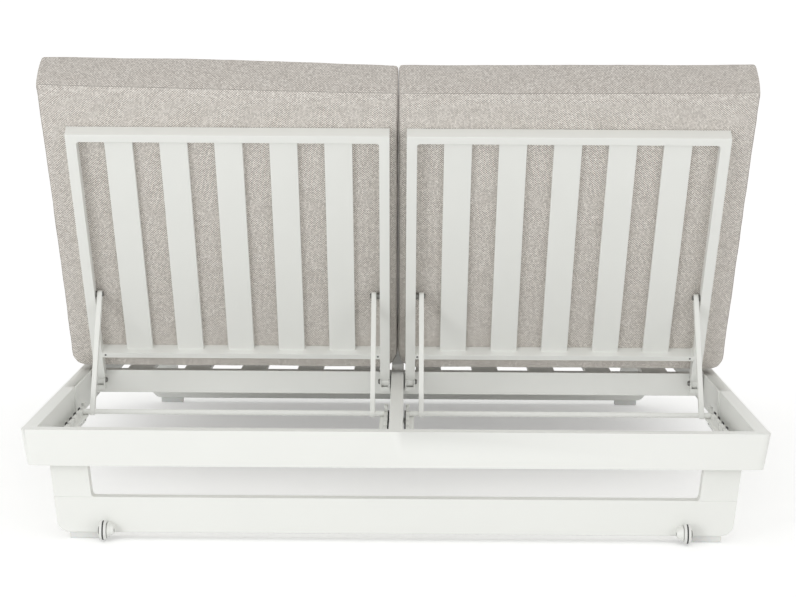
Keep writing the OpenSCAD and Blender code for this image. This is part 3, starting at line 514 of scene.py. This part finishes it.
# %% Lathe
def turned(bm, profile, centre, way=1, steps=48):
    """profile: (distance, radius) rings; centre: point on the axis; way: +1 or -1 along X."""
    rings = []
    for x, r, *six in profile:
        ring = []
        for k in range(steps):
            angle = 2 * math.pi * k / steps
            part = (angle % (math.pi / 3)) - math.pi / 6
            reach = r * math.cos(math.pi / 6) / math.cos(part) if six else r
            around = Vector((way * x, reach * math.cos(angle), reach * math.sin(angle)))
            ring.append(bm.verts.new(centre + around))
        rings.append(ring)
    for a, b in zip(rings, rings[1:]):
        for k in range(steps):
            bm.faces.new((a[k], a[(k + 1) % steps], b[(k + 1) % steps], b[k]))
    bm.faces.new(rings[0][::-1])
    bm.faces.new(rings[-1])


def finish_piece(bm, name, material, body, slot, *stands_for):
    bmesh.ops.recalc_face_normals(bm, faces=bm.faces)
    mesh = bpy.data.meshes.new(name)
    bm.to_mesh(mesh)
    bm.free()
    mesh.shade_smooth()
    mesh.set_sharp_from_angle(angle=math.radians(38))
    obj = link_mesh(mesh, name, material, body)
    if stands_for:
        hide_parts(*stands_for)
    print("made", name, "faces", len(mesh.polygons))


# %% [markdown]
# ## Bolts
# A button-head bolt: a low dome with a six-sided socket, a washer under it and a plain shank.
# The same drawing serves the hinges, the prop pivots, the racks and the wheels.


# %% Bolt drawing
def bolt(bm, centre, way, head_r, head_t, shank_r, shank_l, washer=0.0008):
    """centre: where the head meets the work; way: the direction of the head along X."""
    dome = [(-shank_l, shank_r - 0.0004), (0.0006 - shank_l, shank_r), (0.0, shank_r)]
    dome += [(0.0, head_r), (washer * 0.8, head_r), (washer, head_r - 0.0003)]
    rise = head_t - washer
    cap_r = head_r * 0.88
    for k in range(7):
        angle = math.radians(8 + 62 * k / 6)
        dome.append((washer + rise * math.sin(angle) / math.sin(math.radians(70)),
                     cap_r * (0.42 + 0.58 * math.cos(angle))))
    key = head_r * 0.44
    dome += [(head_t - 0.0001, key, "key"), (head_t * 0.45, key * 0.96, "key"),
             (head_t * 0.42, key * 0.3, "key")]
    turned(bm, dome, centre, way)


# Hinge bolts: heads on the opening's side of each post, shank through the clevis
bm = bmesh.new()
for _, g in SIDES:
    for face_x, way in zip(POST_FACES, (1, -1)):
        bolt(bm, Vector((g * face_x, HINGE.y, HINGE.z)), g * way,
             head_r=0.007, head_t=0.005, shank_r=0.004, shank_l=POST_W)
finish_piece(bm, "hinge_bolts_turned", dark_steel, "platform", "bolts", "hinge_bolts")

# Rack bolts
bm = bmesh.new()
rack_low, rack_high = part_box("rack_bolts")
bolt_z = (rack_low.z + rack_high.z) / 2
for _, g in SIDES:
    for y in (rack_low.y + 0.005, rack_high.y - 0.005):
        for face_x, way in zip(RACK_FACES, (1, -1)):
            bolt(bm, Vector((g * face_x, y, bolt_z)), g * way,
                 head_r=0.005, head_t=0.003, shank_r=0.0025, shank_l=0.004)
finish_piece(bm, "rack_bolts_turned", dark_steel, "platform", "bolts", "rack_bolts")

# Prop pivots: a bush beside the post, the stay, then the head
PLAY, BUSH_R, EASE = 0.0003, 0.0075, 0.0006
for side, g in SIDES:
    bm = bmesh.new()
    pivot = on_back(0, *PIVOT)
    for post_x, (near_x, far_x), way in zip(POST_FACES, STAY_FACES, (1, -1)):
        near_x, far_x = near_x - way * PLAY, far_x + way * PLAY
        length = abs(near_x - post_x)
        bush = [(0, BUSH_R), (length - EASE, BUSH_R), (length, BUSH_R - EASE)]
        turned(bm, bush, pivot + Vector((g * post_x, 0, 0)), g * way)
        bolt(bm, pivot + Vector((g * far_x, 0, 0)), g * way,
             head_r=0.006, head_t=0.003, shank_r=0.004, shank_l=abs(far_x - post_x))
    finish_piece(bm, "pivot_bolts_" + side + "_turned", dark_steel, "backrest_" + side, "bolts",
                 "pivot_bolts_" + side)

# %% [markdown]
# ## Wheels
# Two small hard wheels under the rear leg frame let one person push the lounger about. Each is
# two moulded halves with a thin dark ring pressed between them. The outer faces are dished
# around a hub, and the rims are rounded so that they roll over joints between tiles.

# %% Wheels, rings and axle bolts
wheel_low, wheel_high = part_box("wheel_right")
axle = Vector((0, (wheel_low.y + wheel_high.y) / 2, (wheel_low.z + wheel_high.z) / 2))
wheel_w = wheel_high.x - wheel_low.x
half_gap, rim, bed = 0.0015, 0.020, 0.016
for side, g in SIDES:
    bm = bmesh.new()
    half = [(0.0, 0.0041), (0.0, 0.0085), (0.0009, 0.0093), (0.0016, 0.0112), (0.0016, 0.0146),
            (0.0006, 0.0158), (0.0003, 0.0172), (0.0012, 0.0188), (0.0026, 0.0197), (0.0042, rim),
            (wheel_w / 2 - half_gap - 0.0006, rim), (wheel_w / 2 - half_gap, rim - 0.0006),
            (wheel_w / 2 - half_gap, bed)]
    mirror = [(wheel_w - x, r) for x, r in reversed(half)]
    turned(bm, half + mirror, Vector((g * wheel_low.x, axle.y, axle.z)), g, 64)
    finish_piece(bm, "wheel_" + side + "_turned", wheel_white, "wheel_" + side, "wheel_plastic",
                 "wheel_" + side)
    bm = bmesh.new()
    ring = [(-half_gap, bed + 0.0002), (-half_gap, rim - 0.0010), (-0.0008, rim - 0.0004),
            (0.0, rim - 0.0003), (0.0008, rim - 0.0004), (half_gap, rim - 0.0010),
            (half_gap, bed + 0.0002)]
    turned(bm, ring, Vector((g * (wheel_low.x + wheel_w / 2), axle.y, axle.z)), g, 64)
    finish_piece(bm, "tread_" + side + "_turned", tread_rubber_and_shade, "wheel_" + side, "tread_rubber",
                 "tread_" + side)
bm = bmesh.new()
for _, g in SIDES:
    bolt(bm, Vector((g * (wheel_high.x + PLAY), axle.y, axle.z)), g,
         head_r=0.0098, head_t=0.0030, shank_r=0.004, shank_l=0.029)
finish_piece(bm, "axle_bolts_turned", dark_steel, "platform", "bolts", "axle_bolts")

# %% [markdown]
# ## Wheel brackets
# Each wheel turns on a short round nose that is welded to the leg frame. The nose narrows in a
# soft curve away from the wheel, as a cast piece does. It is made as a row of rings, each a half
# circle behind the axle and two straight sides that run forward to the leg.

# %% Wheel brackets
nose_low, nose_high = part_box("wheel_brackets")
NOSE_LENGTH = 0.014
NOSE = ((0.0, 0.0134), (0.03, 0.0140), (0.20, 0.0138), (0.34, 0.0126), (0.46, 0.0110),
        (0.60, 0.0101), (0.80, 0.0095), (0.93, 0.0084), (1.0, 0.0064))
bm = bmesh.new()
for _, g in SIDES:
    rings = []
    for share, r in NOSE:
        x = g * (nose_high.x - NOSE_LENGTH * share)
        arc = [(axle.y + r * math.cos(q), axle.z + r * math.sin(q))
               for q in (math.pi / 2 + math.pi * k / 20 for k in range(21))]
        sides = [(nose_high.y, axle.z + r)] + arc + [(nose_high.y, axle.z - r)]
        rings.append([bm.verts.new((x, y, z)) for y, z in sides])
    for a, b in zip(rings, rings[1:]):
        for k in range(len(a)):
            n = (k + 1) % len(a)
            bm.faces.new((a[k], a[n], b[n], b[k]))
    bm.faces.new(rings[0][::-1])
    bm.faces.new(rings[-1])
finish_piece(bm, "wheel_brackets_cast", powder_coat, "platform", "painted_aluminium",
             "wheel_brackets")

# %% [markdown]
# ## Welds and inner corners
# The slats are welded to the rails of the back, and the posts to the rails. Under the coat the
# welds are low rippled beads along the joints, and the inner corners of the frame are filled to
# a small radius. Beads are short tubes whose radius ripples; half of each is in the metal.
# Weld metal also fills most of the slit under each hinge tongue. Two small dark discs near the
# ends of each low rail are painted shade for the dark inside of drain holes. A dark block behind
# each notch of the racks is painted shade for the shadow between the web and the side rail, and
# they show as a row of dark spots.


# %% Welds
def bead(bm, a, b, r, pitch=0.0035, sides=8):
    length = (b - a).length
    along = (b - a).normalized()
    side_way = along.orthogonal().normalized()
    up_way = along.cross(side_way)
    count = max(6, int(length / pitch * 4))
    rings = []
    for k in range(count + 1):
        t = k / count
        ends = min(1.0, 6 * min(t, 1 - t) + 0.35)
        wobble = 1 + 0.10 * math.sin(2 * math.pi * t * length / pitch)
        wobble += 0.12 * noise.noise(a * 90 + along * t * 9)
        ring = []
        for j in range(sides):
            q = 2 * math.pi * j / sides
            around = (side_way * math.cos(q) + up_way * math.sin(q)) * r * wobble * ends
            ring.append(bm.verts.new(a + along * (length * t) + around))
        rings.append(ring)
    for low, high in zip(rings, rings[1:]):
        for j in range(sides):
            bm.faces.new((low[j], low[(j + 1) % sides], high[(j + 1) % sides], high[j]))
    bm.faces.new(rings[0][::-1])
    bm.faces.new(rings[-1])


def corner_fill(bm, corner, go_x, go_s, r, n0, n1):
    """A wedge with a hollow round face in the corner between a post and a rail of the back."""
    sunk = -0.0005
    arc = [(r - r * math.cos(q), r - r * math.sin(q)) for q in (math.pi / 2 * k / 6 for k in range(7))]
    outline = [(sunk, sunk), (r, sunk)] + arc[::-1] + [(sunk, r)]
    rings = []
    for n in (n0, n1):
        rings.append([bm.verts.new(on_back(corner[0] + go_x * x, corner[1] + go_s * y, n))
                      for x, y in outline])
    count = len(outline)
    for k in range(count):
        bm.faces.new((rings[0][k], rings[0][(k + 1) % count], rings[1][(k + 1) % count], rings[1][k]))
    bm.faces.new(rings[0][::-1])
    bm.faces.new(rings[1])


SLAT_REAR, REAR_BEAD, SIDE_BEAD = 0.008, 0.0014, 0.0012
DRAIN_SHADE_X, DRAIN_SHADE_S = (0.0456, 0.6770), 0.0890
for side, g in SIDES:
    bm = bmesh.new()
    for x in SLAT_X:
        for s in SLAT_ENDS:
            bead(bm, on_back(g * (x - 0.029), s, SLAT_REAR), on_back(g * (x + 0.029), s, SLAT_REAR),
                 REAR_BEAD)
            for edge in (-SLAT_W / 2, SLAT_W / 2):
                bead(bm, on_back(g * (x + edge), s, SLAT_REAR + 0.001),
                     on_back(g * (x + edge), s, SLAT_REAR + 0.011), SIDE_BEAD)
    for x, go in zip(POST_FACES, (1, -1)):
        for s, up, r in ((SLAT_ENDS[1], -1, 0.006), (SLAT_ENDS[0], 1, 0.004)):
            corner_fill(bm, (g * x, s), g * go, up, r, POST_REAR, POST_FRONT - 0.0005)
    bmesh.ops.recalc_face_normals(bm, faces=bm.faces)
    mesh = bpy.data.meshes.new("back_welds_" + side)
    bm.to_mesh(mesh)
    bm.free()
    mesh.shade_smooth()
    mesh.set_sharp_from_angle(angle=math.radians(40))
    link_mesh(mesh, "back_welds_" + side, powder_coat, "backrest_" + side)
    # Dark discs near the ends of each low rail are painted shade: they stand for the dark inside of drain
    # holes.
    bm = bmesh.new()
    for x in DRAIN_SHADE_X:
        place = back_matrix() @ Matrix.Translation((g * x, -DRAIN_SHADE_S, LOW_RAIL_REAR - 0.0002))
        bmesh.ops.create_cone(bm, cap_ends=True, segments=24, radius1=0.0021, radius2=0.0024,
                              depth=0.0006, matrix=place)
    finish_piece(bm, "drain_hole_shade_" + side, tread_rubber_and_shade, "backrest_" + side, "tread_rubber")
    print("welds", side, len(mesh.polygons))


def filled_box(bm, g, low, high):
    """A plate of weld metal, or a dark block of painted shade, between two corners given for the right
    side.
    """
    middle, size = (low + high) / 2, high - low
    place = Matrix.Translation((g * middle.x, middle.y, middle.z))
    bmesh.ops.create_cube(bm, size=1, matrix=place @ Matrix.Diagonal((*size, 1)))


EAR_T, TONGUE_R = 0.0032, 0.011
under_tongue = HINGE.z - TONGUE_R
bm = bmesh.new()
for _, g in SIDES:
    for x0, _ in POSTS:
        filled_box(bm, g, Vector((x0 + EAR_T, HINGE.y - 0.0138, under_tongue - 0.0012)),
                   Vector((x0 + POST_W - EAR_T, HINGE.y + 0.0118, under_tongue - 0.0002)))
finish_piece(bm, "clevis_welds", powder_coat, "platform", "painted_aluminium")

# %% Painted shade behind the notches
NOTCH_PITCH, NOTCHES, WEB = 0.062, 5, 0.008
NOTCH_SHADE_T, NOTCH_SHADE_W, NOTCH_SHADE_LOW = 0.0030, 0.019, 0.0068
bar_low, bar_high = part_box("prop_bar_right")
bar_y, bar_z = (bar_low.y + bar_high.y) / 2, (bar_low.z + bar_high.z) / 2
# Dark blocks behind the notches are painted shade: they stand for the shadow between each web and the
# side rail.
bm = bmesh.new()
for _, g in SIDES:
    for face_x, way, rise in zip(RACK_FACES, (-1, 1), (0.0055, 0.0070)):
        for k in range(NOTCHES):
            x = face_x + way * (WEB + 0.0002 + NOTCH_SHADE_T / 2)
            y = bar_y - k * NOTCH_PITCH
            filled_box(bm, g, Vector((x - NOTCH_SHADE_T / 2, y - NOTCH_SHADE_W / 2, bar_z - NOTCH_SHADE_LOW)),
                       Vector((x + NOTCH_SHADE_T / 2, y + NOTCH_SHADE_W / 2, bar_z + rise)))
finish_piece(bm, "rack_notch_shade", tread_rubber_and_shade, "platform", "tread_rubber")

# %% [markdown]
# ## Cushions
# A box cushion is three cut panels round a foam block: a bottom, a top and a long strip called
# the boxing. The seams run round both faces close to the edge. The foam presses the panels
# out, so the faces are crowned, the boxing bulges between the seams, and the seams stay lowest
# and draw in a little between the corners. Each cushion is built as those panels with rows of
# quads that follow the seams, then pumped up by a short cloth simulation with its movement
# capped, pressed flat where it lies on slats, and pulled in along the seams.

# %% The panels of a box cushion
THICK = 0.108
THICK_CUT, THICK_FULL, LOW_Z = THICK - 0.010, THICK + 0.004, -THICK / 2
EDGE_STEPS = [0.0, 0.003, 0.0075, 0.014, 0.022, 0.032]


def spread(half, pitch):
    """Places from -half to half: close together near both ends, even between them."""
    inner = half - EDGE_STEPS[-1]
    count = max(2, round(2 * inner / pitch))
    middle = [-inner + 2 * inner * k / count for k in range(1, count)]
    return [-half + e for e in EDGE_STEPS] + middle + [half - e for e in reversed(EDGE_STEPS)]


def rounded_corner(x, y, hx, hy, radii):
    """Moves the points near a corner so that it is round: (across, along) for each of four corners."""
    rx, ry = radii[x > 0, y > 0]
    px, py = abs(x) - (hx - rx), abs(y) - (hy - ry)
    if px <= 0 or py <= 0:
        return x, y
    a, b = px / rx, py / ry
    return (math.copysign(hx - rx + rx * a * math.sqrt(1 - b * b / 2), x),
            math.copysign(hy - ry + ry * b * math.sqrt(1 - a * a / 2), y))


PITCH, BOXING_PITCH = 0.0125, 0.011
# Corner radii by (outer side or not, lower end or not): the lower corners are worn rounder
CORNERS = {(False, False): (0.007, 0.008), (True, False): (0.009, 0.009),
           (False, True): (0.036, 0.060), (True, True): (0.034, 0.038)}


def box_cushion(name, width, length, thick, crown=0.005, bulge=0.0026):
    xs, ys, zs = spread(width / 2, PITCH), spread(length / 2, PITCH), spread(thick / 2, BOXING_PITCH)
    nx, ny = len(xs), len(ys)
    bm = bmesh.new()
    gap_layer = bm.verts.layers.float.new("seam_gap")
    strip_layer = bm.verts.layers.float.new("boxing")
    map_layer = bm.loops.layers.uv.new("panel_metres")
    shift = {-1: (0.0, 0.0), 1: (3.1, 1.7)}  # each panel is cut from its own place on the roll
    grid = {}

    def crown_at(x, y):
        fx, fy = 1 - (2 * x / width) ** 2, 1 - (2 * y / length) ** 2
        return crown * min(1.0, 2.2 * fx) ** 0.6 * min(1.0, 2.2 * fy) ** 0.6 if fx > 0 and fy > 0 else 0.0

    for top in (-1, 1):
        for i, x in enumerate(xs):
            for j, y in enumerate(ys):
                px, py = rounded_corner(x, y, width / 2, length / 2, CORNERS)
                vert = bm.verts.new((px, py, top * (thick / 2 + crown_at(x, y))))
                vert[gap_layer] = min(width / 2 - abs(x), length / 2 - abs(y))
                grid[top, i, j] = vert
        for i in range(nx - 1):
            for j in range(ny - 1):
                quad = [(i, j), (i + 1, j), (i + 1, j + 1), (i, j + 1)][::top]
                face = bm.faces.new([grid[top, *q] for q in quad])
                for loop, q in zip(face.loops, quad):
                    loop[map_layer].uv = (xs[q[0]] + shift[top][0], ys[q[1]] + shift[top][1])
    border = [(i, 0) for i in range(nx)] + [(nx - 1, j) for j in range(1, ny)]
    border += [(i, ny - 1) for i in range(nx - 2, -1, -1)] + [(0, j) for j in range(ny - 2, 0, -1)]
    count = len(border)
    run = [0.0]
    for k in range(count):
        a, b = grid[-1, *border[k]].co, grid[-1, *border[(k + 1) % count]].co
        run.append(run[-1] + (b - a).length)
    rings = [[grid[-1, *b] for b in border]]
    for z in zs[1:-1]:
        share = 1 - (2 * z / thick) ** 2
        ring = []
        for b in border:
            base = grid[-1, *b].co
            out = Vector((base.x / (width / 2), base.y / (length / 2), 0))
            out = Vector((out.x ** 15, out.y ** 15, 0)).normalized()
            vert = bm.verts.new((base.x + out.x * bulge * share, base.y + out.y * bulge * share, z))
            vert[gap_layer] = thick / 2 - abs(z)
            vert[strip_layer] = 1.0
            ring.append(vert)
        rings.append(ring)
    rings.append([grid[1, *b] for b in border])
    for m in range(len(rings) - 1):
        for k in range(count):
            n = (k + 1) % count
            face = bm.faces.new((rings[m][k], rings[m][n], rings[m + 1][n], rings[m + 1][k]))
            for loop, (c, h) in zip(face.loops, ((k, m), (k + 1, m), (k + 1, m + 1), (k, m + 1))):
                loop[map_layer].uv = (run[c] + 7.3, zs[h] + 5.9)
    bmesh.ops.recalc_face_normals(bm, faces=bm.faces)
    mesh = bpy.data.meshes.new(name)
    bm.to_mesh(mesh)
    bm.free()
    obj = bpy.data.objects.new(name, mesh)
    bpy.context.scene.collection.objects.link(obj)
    print("panels", name, "quads", len(mesh.polygons))
    return obj


# %% [markdown]
# ## Pumping a cushion up
# The cloth solver gets the closed cover, a steady pressure and no gravity, and runs twenty
# steps. The cover wants to become a balloon, but foam would hold it back, so afterwards no
# point may be further than a cap from where it started. What stays is the fullness and the
# small ripples along the seams. The solver is given nothing random, so it repeats exactly.


# %% Cloth simulation with a cap
def points_of(mesh):
    co = np.zeros(len(mesh.vertices) * 3)
    mesh.vertices.foreach_get("co", co)
    return co.reshape(-1, 3)


def write_points(mesh, co):
    mesh.vertices.foreach_set("co", np.asarray(co).ravel())
    mesh.update()


def pump(obj, pressure=4.0, cap=0.004, frames=20):
    before = points_of(obj.data)
    cloth_mod = obj.modifiers.new("cover", "CLOTH")
    s = cloth_mod.settings
    s.quality = 5
    s.mass = 0.35
    s.tension_stiffness = s.compression_stiffness = 35
    s.shear_stiffness = 12
    s.bending_stiffness = 3
    s.use_pressure = True
    s.uniform_pressure_force = pressure
    s.effector_weights.gravity = 0
    cloth_mod.collision_settings.use_collision = False
    cloth_mod.point_cache.frame_start, cloth_mod.point_cache.frame_end = 1, frames
    scene = bpy.context.scene
    for f in range(1, frames + 1):
        scene.frame_set(f)
    graph = bpy.context.evaluated_depsgraph_get()
    after = points_of(obj.evaluated_get(graph).data)
    obj.modifiers.clear()
    scene.frame_set(1)
    move = after - before
    size = np.linalg.norm(move, axis=1, keepdims=True)
    limited = before + move * (cap * np.tanh(size / cap) / np.maximum(size, 1e-9))
    write_points(obj.data, limited)
    print("pumped", obj.name, "largest wish", round(float(size.max()), 4), "cap", cap)


def fill_out(obj, *size):
    """Stretches the cover a little each way, so that the foam fills it to the cushion's size."""
    co = points_of(obj.data)
    now = co.max(0) - co.min(0)
    co = (co - (co.max(0) + co.min(0)) / 2) * (np.array(size) / now)
    write_points(obj.data, co)
    print("filled out", obj.name, "from", now.round(4), "to", size)


# %% [markdown]
# ## Pressing, seams and creases
# After the pump the cover is pressed flat where it lies on slats, bulges a little between
# them, sinks along the seams and gets slow uneven waves that differ from cushion to cushion.
# A cushion that stands also slumps: its top edge drops a little, more toward the middle of the
# lounger and at the rear, and its front edge bows up between the corners.
# The last step is one subdivision, which makes the quads half as large and the surface smooth.


# %% Finishing one cushion
SEAM_DEPTH, LEVEL = 0.0022, (0.0, 0.0, 0.0, 0.0)


def finish_cushion(source, node, body, place, mirror, seed, floor_at, waves, slump=LEVEL):
    """floor_at: lowest z at x, y; slump: tilt, drop, drop at the rear, bow of the front edge."""
    name = node + "_sewn"
    obj = bpy.data.objects.new(name, source.data.copy())
    bpy.context.scene.collection.objects.link(obj)
    mesh = obj.data
    co = points_of(mesh)
    gap = np.zeros(len(mesh.vertices))
    mesh.attributes["seam_gap"].data.foreach_get("value", gap)
    normals = np.zeros(len(mesh.vertices) * 3)
    mesh.vertices.foreach_get("normal", normals)
    normals = normals.reshape(-1, 3)
    offset = Vector((seed * 11.3, seed * 5.7, seed * 3.1))
    soft = np.array([noise.noise(Vector(p) * 6.0 + offset)
                     + 0.5 * noise.noise(Vector(p) * 15.0 - offset) for p in co])
    pucker = np.array([noise.noise(Vector((p[0] * 38, p[1] * 38, p[2] * 14)) + offset) for p in co])
    near_seam = np.exp(-((gap - 0.012) / 0.012) ** 2)
    co += normals * (waves * soft + 0.0011 * pucker * near_seam)[:, None]
    co -= normals * (np.exp(-(gap / 0.0022) ** 2) * SEAM_DEPTH)[:, None]
    length = co[:, 1].max() - co[:, 1].min()
    tilt, drop, rear_drop, bow = slump
    rear = np.clip(0.5 - co[:, 2] / THICK, 0, 1)
    fall = drop - tilt * co[:, 0] + rear_drop * rear
    fall -= bow * (1 - (co[:, 0] / co[:, 0].max()) ** 2) * (1 - rear)
    co[:, 1] += fall * (0.5 - co[:, 1] / length)
    lowest = floor_at(co[:, 0], co[:, 1])
    under = co[:, 2] < lowest
    co[under, 2] = lowest[under]
    from_top = co[:, 1] - co[:, 1].min()
    co[:, 0] = np.maximum(co[:, 0], 0.0002 + 0.0017 * np.exp(-(from_top / 0.018) ** 2) - CUSHION_X)
    if mirror:
        co[:, 0] *= -1
        mesh.flip_normals()
    write_points(mesh, co)
    mesh.transform(place)
    sub = obj.modifiers.new("smooth", "SUBSURF")
    sub.levels = sub.render_levels = 1
    settle(obj)
    obj.data.shade_smooth()
    obj.data.materials.clear()
    obj.data.materials.append(heather)
    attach(obj, body)
    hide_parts(node)
    final = points_of(obj.data)
    print("cushion", name, "faces", len(obj.data.polygons), final.min(0).round(4), final.max(0).round(4))


# %% [markdown]
# ## The back cushions
# They stand on their lower edge against the slats. Seen from behind, the cover shows between
# the slats and a hand's width beyond the frame, with the seam as a fine dark line all round
# and the boxing above it as the top edge. Local x is across, y runs down the back, z forward.

# %% Back cushions
BACK_S0, BACK_S1 = 0.019, 0.848
back_form = box_cushion("back_form", 0.756, 0.814, THICK_CUT)
pump(back_form)
fill_out(back_form, 0.7655, 0.833, THICK_FULL)


REACH, BETWEEN_SLATS = 0.003, 0.0012


def back_rest_plane(x, y):
    """Lowest z of the cover: flat on slats, posts and rails, and sunk in a little between the slats."""
    across_back = x + CUSHION_X
    up_the_back = (BACK_S0 + BACK_S1) / 2 - y
    level_here = np.full(len(x), LOW_Z + POST_FRONT - SLAT_FRONT + PLAY)
    inside = (across_back > POST_FACES[0] + REACH) & (across_back < POST_FACES[1] - REACH)
    inside &= (up_the_back > SLAT_ENDS[0] + REACH) & (up_the_back < SLAT_ENDS[1] - REACH)
    level_here[inside] = LOW_Z - BETWEEN_SLATS
    for mid in SLAT_X:
        level_here[inside & (np.abs(across_back - mid) < SLAT_W / 2 + REACH)] = LOW_Z
    return level_here


SLUMPS = {"left": (0.024, 0.004, 0.003, 0.0065), "right": (0.009, 0.006, 0.0065, 0.0)}
SEEDS = {"left": 8, "right": 3}
for side, g in SIDES:
    middle = (g * CUSHION_X, -(BACK_S0 + BACK_S1) / 2, SLAT_FRONT + THICK / 2)
    finish_cushion(back_form, "back_cushion_" + side, "backrest_" + side,
                   back_matrix() @ Matrix.Translation(middle), g < 0, SEEDS[side],
                   back_rest_plane, 0.0012, SLUMPS[side])
bpy.data.objects.remove(back_form)

# %% [markdown]
# ## The seat cushions
# They are hidden behind the backs in the picture, so they follow the back cushions: the same
# thickness, cloth and seams, and the length of the slatted seat. They lie on the seat slats,
# with a finger's gap between them, through which the beam shows under the backs.

# %% Seat cushions
SEAT_Y0, SEAT_Y1, SEAT_Z0 = -0.0352, 0.945, 0.2343
SEAT_X = CUSHION_X + 0.0058
seat_form = box_cushion("seat_form", 0.750, SEAT_Y1 - SEAT_Y0 - 0.006, THICK_CUT)
pump(seat_form)
fill_out(seat_form, 0.7560, SEAT_Y1 - SEAT_Y0 + 0.004, THICK_FULL)


def seat_rest_plane(x, y):
    return np.full(len(x), LOW_Z)


SEEDS = {"left": 12, "right": 5}
for side, g in SIDES:
    place = Matrix.Translation((g * SEAT_X, (SEAT_Y0 + SEAT_Y1) / 2, SEAT_Z0 + THICK / 2))
    finish_cushion(seat_form, "seat_cushion_" + side, "platform", place, g < 0, SEEDS[side],
                   seat_rest_plane, 0.0016)
bpy.data.objects.remove(seat_form)

# %% [markdown]
# ## Floor, background and light
# A plain white floor and a white surround, as in a product studio. The camera sees the floor
# lifted to white, while the shadow on it stays, because a part of what it sees is still the lit
# surface. The light on the object is separate: an even surround, and two large soft lamps behind
# the camera, the left one stronger. They stand low, so that they reach under the leaning backs.


# %% Floor
def seen_directly(tree):
    ray = add(tree, "ShaderNodeLightPath").outputs
    either = maths(tree, "MAXIMUM", ray["Is Camera Ray"], ray["Is Glossy Ray"])
    return maths(tree, "MAXIMUM", either, ray["Is Transmission Ray"])


FLOOR_HALF, SURROUND, LIFT_FLOOR, LIFT_SURROUND = 300, 0.83, 0.25, 0.2
bm = bmesh.new()
bmesh.ops.create_grid(bm, x_segments=8, y_segments=8, size=FLOOR_HALF)
mesh = bpy.data.meshes.new("floor")
bm.to_mesh(mesh)
bm.free()
floor = bpy.data.objects.new("floor", mesh)
bpy.context.scene.collection.objects.link(floor)
floor_white, tree, shader = new_material("studio_floor", (0.9, 0.9, 0.9))
shader.inputs["Base Color"].default_value = (0.93, 0.93, 0.93, 1)
shader.inputs["Roughness"].default_value = 0.9
shader.inputs["Specular IOR Level"].default_value = 0.1
lift = add(tree, "ShaderNodeEmission", {
    "Color": (1, 1, 1, 1), "Strength": maths(tree, "MULTIPLY", seen_directly(tree), LIFT_FLOOR)})
part = add(tree, "ShaderNodeAddShader", {0: shader.outputs[0], 1: lift.outputs[0]})
tree.links.new(part.outputs[0], tree.nodes["Material Output"].inputs["Surface"])
floor.data.materials.append(floor_white)
print("floor ready")

# %% Surround and lamps
world = bpy.data.worlds.new("studio")
bpy.context.scene.world = world
world.use_nodes = True
tree = world.node_tree
back = tree.nodes["Background"]
back.inputs["Color"].default_value = (1, 1, 0.99, 1)
strength = maths(tree, "MULTIPLY_ADD", seen_directly(tree), LIFT_SURROUND, SURROUND)
tree.links.new(strength, back.inputs["Strength"])
LAMP_AIM, LAMP_SIZE = Vector((0, -0.4, 0.4)), 1.9


def lamp(name, place, watts, colour):
    data = bpy.data.lights.new(name, "AREA")
    data.shape, data.size, data.energy, data.color = "DISK", LAMP_SIZE, watts, colour
    obj = bpy.data.objects.new(name, data)
    obj.location = place
    obj.rotation_euler = (LAMP_AIM - Vector(place)).to_track_quat("-Z", "Y").to_euler()
    bpy.context.scene.collection.objects.link(obj)


lamp("key_behind_left", (-3.0, -4.8, 1.0), 49, (0.98, 1.0, 1.0))
lamp("key_behind_right", (3.0, -4.8, 1.0), 20, (1.0, 1.0, 0.99))
bpy.context.scene.view_settings.view_transform = "Standard"
